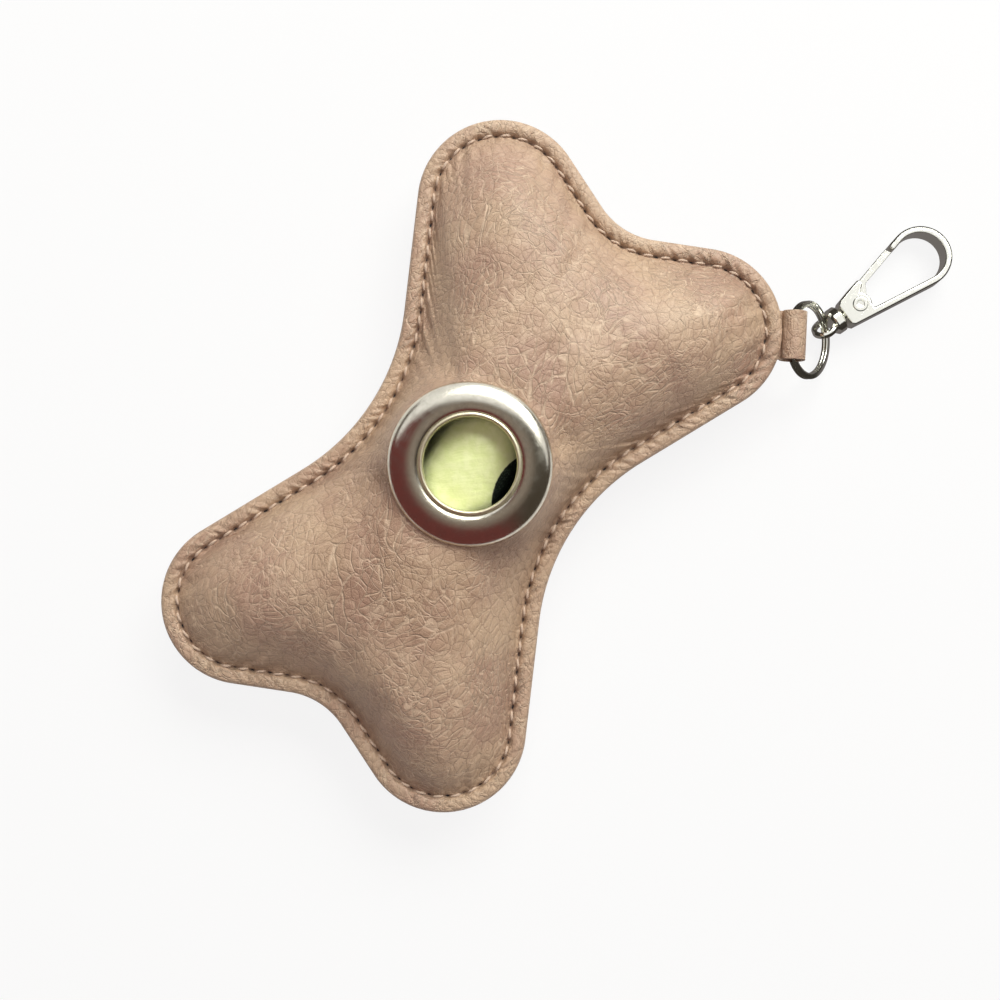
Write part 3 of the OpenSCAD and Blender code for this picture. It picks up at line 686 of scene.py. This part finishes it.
def lining(name, rings, node, up, stop):
    """The thin cloth inside a panel, clear of the leather all over; every other ring and point."""
    outer = np.stack(rings[::2][:stop])
    on_flange = np.arange(len(outer))[:, None, None] < (len(ROWS_FLANGE) + 1) // 2
    normal = np.where(on_flange, np.array([0, 0, up]), outward(outer, up))
    top = outer - normal * (LEATHER + SOFT_GAP * LINING_FIT)
    bottom = outer - normal * (LEATHER + SOFT_GAP * LINING_FIT + LINING * LINING_FIT)
    points, quads = closed_band([r[::2] for r in (*top[1:], *bottom[1:][::-1])])
    obj = mesh_piece(name, points, quads.tolist(), lining_cloth)
    face_outwards(obj)
    fit(obj, "pouch", node)


front_rings, front_hollow = pouch_front()
front = shell("front_leather", front_rings, front_hollow, "front_panel", 1)
back_rings, back_hollow = pouch_back()
back = shell("back_leather", back_rings, back_hollow, "back_panel", -1)
lining("front_lining_cloth", front_rings, "front_lining", 1, 60)
lining("back_lining_cloth", back_rings, "back_lining", -1, 32)


# ---- rows of one small shape
def row_tree():
    """Node tree that lays even copies of a shape along a line and joins them into one mesh."""
    tree = bpy.data.node_groups.new("laid_in_a_row", "GeometryNodeTree")
    for label, kind in (("Line", "Geometry"), ("Shape", "Object"), ("Count", "Int"),
                        ("Slant", "Float"), ("Uneven", "Float"), ("Seed", "Int"),
                        ("Out", "Vector"), ("Finish", "Material")):
        tree.interface.new_socket(label, in_out="INPUT", socket_type="NodeSocket" + kind)
    tree.interface.new_socket("Row", in_out="OUTPUT", socket_type="NodeSocketGeometry")

    def add(kind, wires, **settings):
        made = tree.nodes.new(kind)
        for key, value in settings.items():
            setattr(made, key, value)
        for key, source in wires.items():
            if hasattr(source, "is_output"):
                tree.links.new(source, made.inputs[key])
            else:
                made.inputs[key].default_value = source
        return made

    def first(kind, wires, **settings):
        return add(kind, wires, **settings).outputs[0]

    given = add("NodeGroupInput", {}).outputs
    curve = first("GeometryNodeMeshToCurve", {"Mesh": given["Line"]})
    spread = add("GeometryNodeCurveToPoints", {"Curve": curve, "Count": given["Count"]},
                 mode="COUNT").outputs
    shape = add("GeometryNodeObjectInfo", {"Object": given["Shape"]}).outputs["Geometry"]
    along = first("FunctionNodeAlignRotationToVector", {"Vector": spread["Tangent"]}, axis="X")
    facing = first("FunctionNodeAlignRotationToVector", {"Rotation": along, "Vector": given["Out"]},
                   axis="Z", pivot_axis="X")
    laid = first("GeometryNodeInstanceOnPoints",
                 {"Points": spread["Points"], "Instance": shape, "Rotation": facing})
    less = first("ShaderNodeMath", {0: given["Uneven"], 1: -1.0}, operation="MULTIPLY")
    chance = add("FunctionNodeRandomValue", {"Seed": given["Seed"]}, data_type="FLOAT")
    for wire, socket in zip((less, given["Uneven"]), [q for q in chance.inputs if q.enabled]):
        tree.links.new(wire, socket)
    drawn = [q for q in chance.outputs if q.enabled][0]
    angle = first("ShaderNodeMath", {0: given["Slant"], 1: drawn}, operation="ADD")
    turn = first("ShaderNodeCombineXYZ", {"Z": angle})
    slanted = first("GeometryNodeRotateInstances", {"Instances": laid, "Rotation": turn})
    real = first("GeometryNodeRealizeInstances", {"Geometry": slanted})
    done = first("GeometryNodeSetMaterial", {"Geometry": real, "Material": given["Finish"]})
    add("NodeGroupOutput", {"Row": done})
    return tree


ROWS = row_tree()
SOCKET_OF = {q.name: q.identifier for q in ROWS.interface.items_tree if q.in_out == "INPUT"}


def settled(obj):
    """The piece with its modifiers worked into a plain mesh."""
    obj.update_tag()
    bpy.context.view_layer.update()
    seen = obj.evaluated_get(bpy.context.evaluated_depsgraph_get())
    mesh = bpy.data.meshes.new_from_object(seen)
    obj.modifiers.clear()
    obj.data = mesh
    return obj


def laid_in_a_row(name, line, closed, shape, count, out, finish, slant=0.0, uneven=0.0):
    """Copies of shape (points, faces) at even steps along a line, as one plain mesh."""
    model = mesh_piece(name + "_one", *shape)
    line = np.asarray(line)
    edges = [(i, i + 1) for i in range(len(line) - 1)] + ([(len(line) - 1, 0)] if closed else [])
    path = bpy.data.meshes.new(name)
    path.from_pydata((line * MM).tolist(), edges, [])
    obj = linked(name, path)
    rows = obj.modifiers.new("rows", "NODES")
    rows.node_group = ROWS
    for key, value in (("Shape", model), ("Count", count), ("Slant", slant), ("Uneven", uneven),
                       ("Seed", 5), ("Out", out), ("Finish", finish)):
        rows[SOCKET_OF[key]] = value
    settled(obj)
    bpy.data.objects.remove(model)
    return obj


def stitch_shape(length, width, sink):
    """One short stitch along X whose ends dip into the leather."""
    around, steps = 8, 9
    turns = [2 * math.pi * i / around for i in range(around)]
    points = [(-length / 2, 0, -sink)]
    for k in range(1, steps):
        a = math.pi * k / steps
        thick = width / 2 * math.sin(a) ** 0.7
        x = -length / 2 * math.cos(a)
        drop = sink * (2 * x / length) ** 2
        points += [(x, thick * math.cos(t), thick * math.sin(t) - drop) for t in turns]
    points.append((length / 2, 0, -sink))
    last = len(points) - 1
    faces = []
    for i in range(around):
        j = (i + 1) % around
        faces.append((0, 1 + j, 1 + i))
        for low in range(1, last - around, around):
            faces.append((low + i, low + j, low + around + j, low + around + i))
        faces.append((last, last - around + i, last - around + j))
    return points, faces


def sew(name, line, z, up, node, count, stitch, slant):
    """A closed row of stitches. up is +1 on the front and -1 on the back."""
    level = np.column_stack([line, np.full(AROUND, z)])
    obj = laid_in_a_row(name, level, True, stitch_shape(*stitch), count, (0, 0, float(up)), thread,
                        slant, 0.09)
    face_outwards(obj)
    fit(obj, "pouch", node)


for side, face, up in (("front", FRONT_FACE - THREAD_BED, 1), ("back", BACK_FACE + THREAD_BED, -1)):
    sew(side + "_stitches", SEAM, face, up, side + "_edge_stitching",
        STITCHES, (2.6, 0.70, 0.40), 0.16)
sew("zip_window_stitches", stadium_of(ZIP_SLOT_HALF, ZIP_SLOT_R + 2.2),
    TABLE_Z + RECESS + PARED - THREAD_BED, -1, "zip_window_stitching", 62, (2.3, 0.6, 0.3), 0.0)


# ---- turned and pressed metal
CREST_STEPS, BEAD_STEPS, EYELET_AROUND = 34, 12, 160


def eyelet_profile():
    """(radius, height) of the eyelet: crest, bead round the hole, barrel, curled foot, inside."""
    crest = WINDOW_R + (EYELET_R - WINDOW_R) * 0.4
    bead, shoulder, neck = 0.55, EYELET_H * 0.62, -3.0
    bead_out = WINDOW_R + 2 * bead
    out = []
    for a in np.linspace(0, math.pi, CREST_STEPS):
        wide, low = (EYELET_R - crest, 0.0) if a < math.pi / 2 else (crest - bead_out, shoulder)
        out.append((crest + wide * math.cos(a), low + (EYELET_H - low) * math.sin(a)))
    for a in np.radians(np.linspace(50, 180, BEAD_STEPS)):
        out.append((WINDOW_R + bead + bead * math.cos(a), shoulder + bead * math.sin(a)))
    out += [(WINDOW_R + r, z) for r, z in (
        (0, 0.5), (0, -1.4), (0, neck + 0.5), (0.2, neck + 0.1), (0.6, neck), (2.4, neck),
        (2.4, neck + 0.45), (0.75, neck + 0.5), (EYELET_T, neck + 0.7), (EYELET_T, -0.3),
        (EYELET_T, 0.6))]
    inside = (EYELET_R - bead_out - 2 * EYELET_T) / 2 * 0.96
    middle, floor = (bead_out + EYELET_R) / 2, 0.05
    for a in np.linspace(math.pi, 0, 14):
        out.append((middle + inside * math.cos(a),
                    floor + (EYELET_H - EYELET_T - floor) * math.sin(a)))
    return out + [(EYELET_R - 0.15, 0.02)]


def pressed_eyelet():
    profile = eyelet_profile()
    a = np.linspace(0, 2 * math.pi, EYELET_AROUND, endpoint=False)
    rings = [np.column_stack([r * np.cos(a), r * np.sin(a), np.full(len(a), z)])
             for r, z in profile]
    points, quads = closed_band(rings)
    # the bead round the hole has a finish of its own, tinted cream as a painted reflection of the
    # film below
    band = np.repeat(np.arange(len(profile)), len(a))
    on_bead = (band >= CREST_STEPS - 1) & (band < CREST_STEPS + BEAD_STEPS)
    obj = mesh_piece("pressed_eyelet", points, quads.tolist(), satin_nickel, rolled_rim,
                     which=on_bead.astype(int))
    face_outwards(obj)
    fit(obj, "pouch", "eyelet")


pressed_eyelet()


def rounded_copy(name, node, body, finish, slot_name, width, segments, angle=32, clamped=True):
    """A CAD piece with its sharp edges eased, as plating and tumbling leave them."""
    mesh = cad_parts[node].data.copy()
    mesh.name = name
    mesh.materials.clear()
    mesh.materials.append(finish)
    obj = linked(name, mesh)
    b = bmesh.new()
    b.from_mesh(mesh)
    bmesh.ops.remove_doubles(b, verts=b.verts, dist=2e-6)
    bmesh.ops.dissolve_limit(b, angle_limit=math.radians(1.0), verts=b.verts, edges=b.edges)
    b.to_mesh(mesh)
    b.free()
    mesh.polygons.foreach_set("use_smooth", np.full(len(mesh.polygons), True))
    easing = obj.modifiers.new("eased_edges", "BEVEL")
    easing.width, easing.segments = width * MM, segments
    easing.limit_method, easing.angle_limit = "ANGLE", math.radians(angle)
    easing.use_clamp_overlap = clamped
    shading = obj.modifiers.new("even_shading", "WEIGHTED_NORMAL")
    shading.mode, shading.weight = "FACE_AREA", 95
    fit(settled(obj), body, node)


rounded_copy("snap_hook", "hook_body", "hook", polished_nickel, "chrome", 0.52, 4, 40, False)
chrome, zip_made = (polished_nickel, "chrome"), (zip_metal, "zip_metal")
hide, tape = (leather, "leather"), (tape_cloth, "zip_tape")
for name, node, body, made_of, width, segments in (
        ("hook_gate", "gate", "gate", chrome, 0.16, 2),
        ("hook_rivet", "gate_rivet", "hook", chrome, 0.08, 2),
        ("hook_swivel", "swivel_eye", "swivel", chrome, 0.25, 3),
        ("zip_runner", "zip_slider", "slider", zip_made, 0.10, 2),
        ("zip_puller", "zip_pull", "pull", zip_made, 0.14, 2),
        ("near_stop", "open_end_stop", "pouch", zip_made, 0.10, 2),
        ("far_stop", "closed_end_stop", "pouch", zip_made, 0.10, 2),
        ("tab_leather", "tab_loop", "pouch", hide, 0.2, 3),
        ("left_tape", "left_zip_tape", "pouch", tape, 0.1, 2),
        ("right_tape", "right_zip_tape", "pouch", tape, 0.1, 2)):
    rounded_copy(name, node, body, *made_of, width, segments)


def sleeve(m, n):
    """Faces between m rings of n points each."""
    return [(k * n + i, k * n + (i + 1) % n, (k + 1) * n + (i + 1) % n, (k + 1) * n + i)
            for k in range(m - 1) for i in range(n)]


def lofted(rings):
    """Points and faces of a solid through rings of equal count, capped at both ends."""
    n, m = len(rings[0]), len(rings)
    ends = [tuple(range(n))[::-1], tuple(range((m - 1) * n, m * n))]
    return np.vstack(rings), sleeve(m, n) + ends


def swept(name, path, across, section, finish, node, body, placed):
    """A section drawn along a path, closed at both ends; its axes are across the path and Z."""
    section = np.asarray(section)
    points, faces = lofted([p + section[:, :1] * a + section[:, 1:] * [0, 0, 1]
                            for p, a in zip(path, across)])
    grid = np.array(placed)
    obj = mesh_piece(name, points @ grid[:3, :3].T + grid[:3, 3], faces, finish)
    face_outwards(obj)
    obj.data.set_sharp_from_angle(angle=math.radians(50))
    fit(obj, body, node)


def moved(x=0.0, y=0.0, z=0.0):
    return Matrix.Translation((x, y, z))


def turned_by(degrees, axis):
    return Matrix.Rotation(math.radians(degrees), 4, axis)


# where the ring and the hook lie at rest, in the CAD's own steps
RING_R, RING_BAND, RING_H, RING_SAG = 9.2, 1.6, 1.7, 1.339
ON_TAB = moved(LOBE_C[0], -LOBE_C[1], SEAM_Z) @ turned_by(-60, "Z")
ON_RING = ON_TAB @ moved(LOBE_R + 3.05) @ turned_by(46, "Y") @ moved(RING_R - RING_SAG)
ON_HOOK = moved(80.4196, -57.7536, TABLE_Z + 3.85) @ turned_by(-22.3, "Z") @ moved(3.1)
IN_FORK = ON_HOOK @ turned_by(-6, "X") @ moved(7.2, -0.3)


def rounded_box(wide, high, corner, steps=3):
    """Outline of a rectangle with round corners."""
    out = []
    for q, (sx, sy) in enumerate(((1, 1), (-1, 1), (-1, -1), (1, -1))):
        for a in np.radians(90 * q + np.linspace(0, 90, steps + 1)):
            out.append(((wide / 2 - corner) * sx + corner * math.cos(a),
                        (high / 2 - corner) * sy + corner * math.sin(a)))
    return out


def ring_coils():
    """The flat wire goes round nearly twice and steps from the lower turn to the upper one."""
    a = np.radians(np.linspace(221, 869, 220))
    z = RING_H / 4 * (2 * ease((np.degrees(a) - 512) / 66) - 1)
    out = np.column_stack([np.cos(a), np.sin(a), np.zeros(len(a))])
    section = rounded_box(RING_BAND, RING_H / 2 - 0.03, 0.26)
    swept("ring_coils", out * RING_R + z[:, None] * [0, 0, 1], out, section, polished_nickel,
          "split_ring", "ring", ON_RING)


def spring_coils():
    """Three close turns of wire round the rivet, and two short legs."""
    wire, rivet_r, clearance = 0.4, 0.95, 0.1
    coil_r = rivet_r + clearance + wire / 2
    a = np.radians(np.linspace(-90, 990, 110))
    rise = np.linspace(-0.36, 0.36, len(a))
    path = np.column_stack([coil_r * np.cos(a), coil_r * np.sin(a), rise])
    leg_in, leg_out = [[-2.0, 0, 0], [-1.0, 0, 0]], [[1.0, 0, 0], [1.9, 0, 0]]
    path = np.vstack([path[0] + leg_in, path, path[-1] + leg_out])
    across = unit(np.cross(unit(np.gradient(path, axis=0)), [0.0, 0.0, 1.0]))
    section = [(wire * 0.46 * math.cos(t), wire * 0.42 * math.sin(t))
               for t in np.linspace(0, 2 * math.pi, 9)[:-1]]
    swept("torsion_spring", path, across, section, spring_wire, "gate_spring", "hook",
          IN_FORK)


ring_coils()
spring_coils()

TOOTH_PITCH, TOOTH_SHARE, TOOTH_H, ROW_L, TEETH = 2.2, 0.45, 1.2, 80.0, 36


def tooth_shape():
    """A moulded tooth: a rounded head on a narrower neck, its faces eased."""
    outline = np.array([(0.26, 0.78), (0.29, 0.22), (0.49, -0.08), (0.45, -0.43), (0.22, -0.55)])
    outline = np.vstack([outline, outline[::-1] * (-1, 1)])
    middle = np.array([0, 0.1])
    return lofted([np.column_stack([middle + (outline - middle) * size,
                                    np.full(len(outline), z * TOOTH_H / 2)])
                   for z, size in ((-1, 0.74), (-0.72, 1), (0.72, 1), (1, 0.74))])


def zip_row(name, node, side, start):
    """One row of teeth and the moulded cord at its root, above and below the tape."""
    first = -ROW_L / 2 + (start + TOOTH_SHARE / 2) * TOOTH_PITCH
    ends = [first, first + TOOTH_PITCH * (TEETH - 1)]
    line = [(x, 0.95 * side, TEETH_Z) for x in (ends if side > 0 else ends[::-1])]
    obj = laid_in_a_row(name, line, False, tooth_shape(), TEETH, (0, 0, 1.0), zip_nylon)
    b = bmesh.new()
    b.from_mesh(obj.data)
    section = np.array(rounded_box(0.8, 0.34, 0.12))
    # the cord's ends are eased over the last 0.2 mm
    stations = [(way * (ROW_L / 2 - back), size)
                for way, back, size in ((-1, 0, 0.6), (-1, 0.2, 1), (1, 0.2, 1), (1, 0, 0.6))]
    for high in (-0.43, 0.43):
        middle = [1.7 * side, TEETH_Z + high]
        points, faces = lofted([
            np.column_stack([np.full(len(section), x), section * size + middle])
            for x, size in stations])
        made = [b.verts.new(q * MM) for q in points]
        for face in faces:
            b.faces.new([made[i] for i in face]).smooth = True
    b.to_mesh(obj.data)
    b.free()
    face_outwards(obj)
    obj.data.set_sharp_from_angle(angle=math.radians(40))
    fit(obj, "pouch", node)


zip_row("left_teeth", "left_zip_teeth", 1, 0.05)
zip_row("right_teeth", "right_zip_teeth", -1, 0.5)


def loose_bag():
    """The outermost bag, a thin film round the top of the roll with slack wrinkles."""
    across, round_it = ((90, 130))
    outer, inner, mean, half_turn = 12.34, 12.16, 12.2, 72
    xx, aa = np.meshgrid(np.linspace(-ROLL_HALF, ROLL_HALF, across),
                         np.radians(np.linspace(-half_turn, half_turn, round_it)), indexing="ij")
    edge = (ease((ROLL_HALF - np.abs(xx)) / 3)
            * ease((math.radians(half_turn) - np.abs(aa)) * mean / 3))
    flat = np.stack([xx, aa * mean], -1)
    ripple = 0.045 * waves(flat @ np.array([[0.8, 0.6], [-0.2, 0.27]]), 7, 51) * edge
    # slack film swells a little into the window
    swell = (0.74 * (1 - ease((np.abs(xx) - 5.0) / 5.3))
             * (1 - ease((np.abs(aa) * outer - 9.0) / 5.0)))
    layers = []
    for r in (outer, inner):
        rr = r + ripple - 0.01 + swell
        layers.append(np.stack([xx, rr * np.sin(aa), ROLL_Z + rr * np.cos(aa)], -1).reshape(-1, 3))
    n = across * round_it
    grid = np.arange(n).reshape(across, round_it)
    corners = [grid[:-1, :-1], grid[:-1, 1:], grid[1:, 1:], grid[1:, :-1]]
    sheet = np.stack(corners, -1).reshape(-1, 4)
    rim = np.concatenate([grid[:, 0], grid[-1, 1:], grid[-2::-1, -1], grid[0, -2:0:-1]])
    ahead = np.roll(rim, -1)
    faces = np.vstack([sheet, sheet[:, [0, 3, 2, 1]] + n,
                       np.column_stack([rim, ahead, ahead + n, rim + n])])
    obj = mesh_piece("loose_bag", np.vstack(layers), faces.tolist(), bag_film)
    face_outwards(obj)
    fit(obj, "roll", "first_bag")


loose_bag()

for node, finish in (("eyelet_washer", satin_nickel), ("roll_core", roll_card),
                     ("bag_roll", rolled_film)):
    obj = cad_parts[node]
    obj.data.materials.clear()
    obj.data.materials.append(finish)

# ---- floor, light and camera
def stage_floor():
    side = 3000.0
    corners = [(-side, -side, 0), (side, -side, 0), (side, side, 0), (-side, side, 0)]
    f = Finish("white_floor")
    f.set(colour=(0.9, 0.9, 0.9, 1), rough=0.9, specular=0.1)
    path = f.node("ShaderNodeLightPath", out="Is Camera Ray")
    seen = (path * 0.86).most(path.beside("Is Glossy Ray") * 0.25).most(
        path.beside("Is Transmission Ray") * 0.86)
    f.between_shaders(seen, Wire(f, f.shader.outputs[0]), f.glow((1, 1, 1, 1)))
    obj = mesh_piece("floor", corners, [(0, 1, 2, 3)], f.material)
    obj.location.z = (TABLE_Z - 0.05) * MM


stage_floor()

RIGHT, UP = Vector((0.5406, -0.8413, 0)), Vector((0.8413, 0.5406, 0))


def softbox(name, toward, distance, size, power, colour):
    lamp = bpy.data.lights.new(name, "AREA")
    lamp.shape = "RECTANGLE"
    lamp.size, lamp.size_y = size
    lamp.energy = power
    lamp.color = colour
    obj = linked(name, lamp)
    direction = Vector(toward).normalized()
    obj.location = Vector((0, 0, -0.015)) + direction * distance
    obj.rotation_mode = "QUATERNION"
    obj.rotation_quaternion = (-direction).to_track_quat("-Z", "Y")
    return obj


softbox("key_window", UP * 1.0 + RIGHT * 0.46 + Vector((0, 0, 0.95)), 1.1, (0.9, 0.6), 13.7,
        (0.985, 1.0, 0.935))
overhead = softbox("overhead_panel", (0, 0, 1), 1.2, (0.8, 0.8), 2.6, (1.0, 0.87, 0.84))
overhead.visible_glossy = False


def stage_glow(name, shape, tone_of):
    """A glowing shape that only the metal sees, as a studio card does."""
    f = Finish(name)
    f.join(f.last.inputs["Surface"], f.glow(tone_of(f)))
    obj = mesh_piece(name, *shape, f.material)
    obj.visible_camera = obj.visible_diffuse = obj.visible_shadow = False
    obj.visible_transmission = obj.visible_volume_scatter = False


# the line that the snap hook lies along, and how far off it the cards round it stand
HOOK_LINE, HOOK_CLEAR = ((82, -58.4), (110, -69.9)), 19.0


def racetrack(high, turns=96):
    """A line round the snap hook, at a height over the table."""
    (x0, y0), (x1, y1) = HOOK_LINE
    line = math.atan2(y1 - y0, x1 - x0)
    points = []
    for i in range(turns):
        a = 2 * math.pi * i / turns
        x, y = (x1, y1) if math.cos(a) > 0 else (x0, y0)
        points.append((x + HOOK_CLEAR * math.cos(a + line), y + HOOK_CLEAR * math.sin(a + line),
                       TABLE_Z + high))
    return points


def collar(high):
    """A low wall round the snap hook."""
    points = racetrack(0.5) + racetrack(high)
    return points, sleeve(2, len(points) // 2)


def underlay(high):
    """A card under the snap hook."""
    points = racetrack(high)
    return points, [tuple(range(len(points)))]


def dome(far, low, high, keep, turns=72, rises=32):
    """Part of a dome round the pouch: angles from straight up, and which parts of it to keep."""
    def angles(j, i):
        return low + (high - low) * j / rises, 360 * i / turns

    points = []
    for j in range(rises + 1):
        for i in range(turns):
            z, a = map(math.radians, angles(j, i))
            out = RIGHT * math.cos(a) + UP * math.sin(a)
            points.append(out * far * math.sin(z) + Vector((0, 0, far * math.cos(z))))
    return points, [face for k, face in enumerate(sleeve(rises + 1, turns))
                    if keep(*angles(k // turns + 0.5, k % turns + 0.5))]


def painted_eyelet_reflection(f):
    """Tones of the painted reflection in the eyelet: grey overhead, red-brown to the lower left,
    olive grey to the right.
    """
    at = f.node("ShaderNodeVectorMath", {"operation": "NORMALIZE"}, {0: f.place(scale=1.0)})
    left = f.node("ShaderNodeVectorMath", {"operation": "DOT_PRODUCT"},
                  {0: at, 1: tuple(-UP * 0.62 - RIGHT * 0.78)}, 1)
    high = f.node("ShaderNodeSeparateXYZ", None, {0: at}, 2)
    side = f.blend((0.066, 0.053, 0.040, 1), (0.150, 0.043, 0.040, 1), left.between(-0.15, 0.25))
    return f.blend(side, (0.27, 0.225, 0.19, 1), high.between(0.80, 1.0))


def patchy(dark, pale, scale=60.0, grain=1.0):
    """A tone that drifts from dark to pale."""
    return lambda f: f.blend((*dark, 1), (*pale, 1), f.noise(f.place(scale=scale), grain))


def but_for_window(z, a):
    """All but the window, which is high up at its middle and only low down to the sides."""
    off = abs(a - 82) / 80
    return off >= 1 or z <= 24 + 44 * off ** 1.6


# painted reflections in the eyelet: a glowing dome, dark but for the window
stage_glow("eyelet_flag", dome(47, 0.5, 89, but_for_window), painted_eyelet_reflection)
# painted reflection: a dark glowing wall round the snap hook darkens its edges
stage_glow("hook_collar", collar(26), patchy((0.014, 0.012, 0.010), (0.070, 0.062, 0.052)))
# painted shadow: a dim glowing card under the snap hook, seen in its inner walls
stage_glow("hook_underlay", underlay(0.5), patchy((0.11, 0.10, 0.10), (0.24, 0.22, 0.215)))
# painted reflection: a dim far wall all round but the window
stage_glow("far_wall", dome(900, 66, 88, lambda z, a: abs(a - 90) > 38),
           patchy((0.10, 0.085, 0.07), (0.20, 0.17, 0.15), 1.0, 2.0))

studio = Finish("studio", world=True)
path = studio.node("ShaderNodeLightPath", out="Is Camera Ray")
seen = path.most(path.beside("Is Glossy Ray")).most(path.beside("Is Transmission Ray"))
light, backdrop = [studio.node("ShaderNodeBackground", None, {"Color": colour, "Strength": power})
                   for colour, power in (((1.0, 0.84, 0.82, 1), 0.14), ((1, 1, 1, 1), 1.0))]
studio.between_shaders(seen, light, backdrop)
bpy.context.scene.world = studio.material

cam_data = bpy.data.cameras.new("camera")
cam_data.sensor_width = 36.0
cam_data.lens = 36.0 / 2 / math.tan(math.radians(47.7) / 2)
cam_data.clip_start = 0.01
camera = linked("camera", cam_data)
camera.rotation_mode = "QUATERNION"
camera.rotation_quaternion = Matrix((RIGHT, UP, Vector((0, 0, 1)))).transposed().to_quaternion()
camera.location = Vector((-3.6, -11.2, 267)) * MM + (UP * 0.6 - RIGHT * 0.4) * MM
bpy.context.scene.camera = camera

bpy.context.scene.view_settings.view_transform = "Standard"
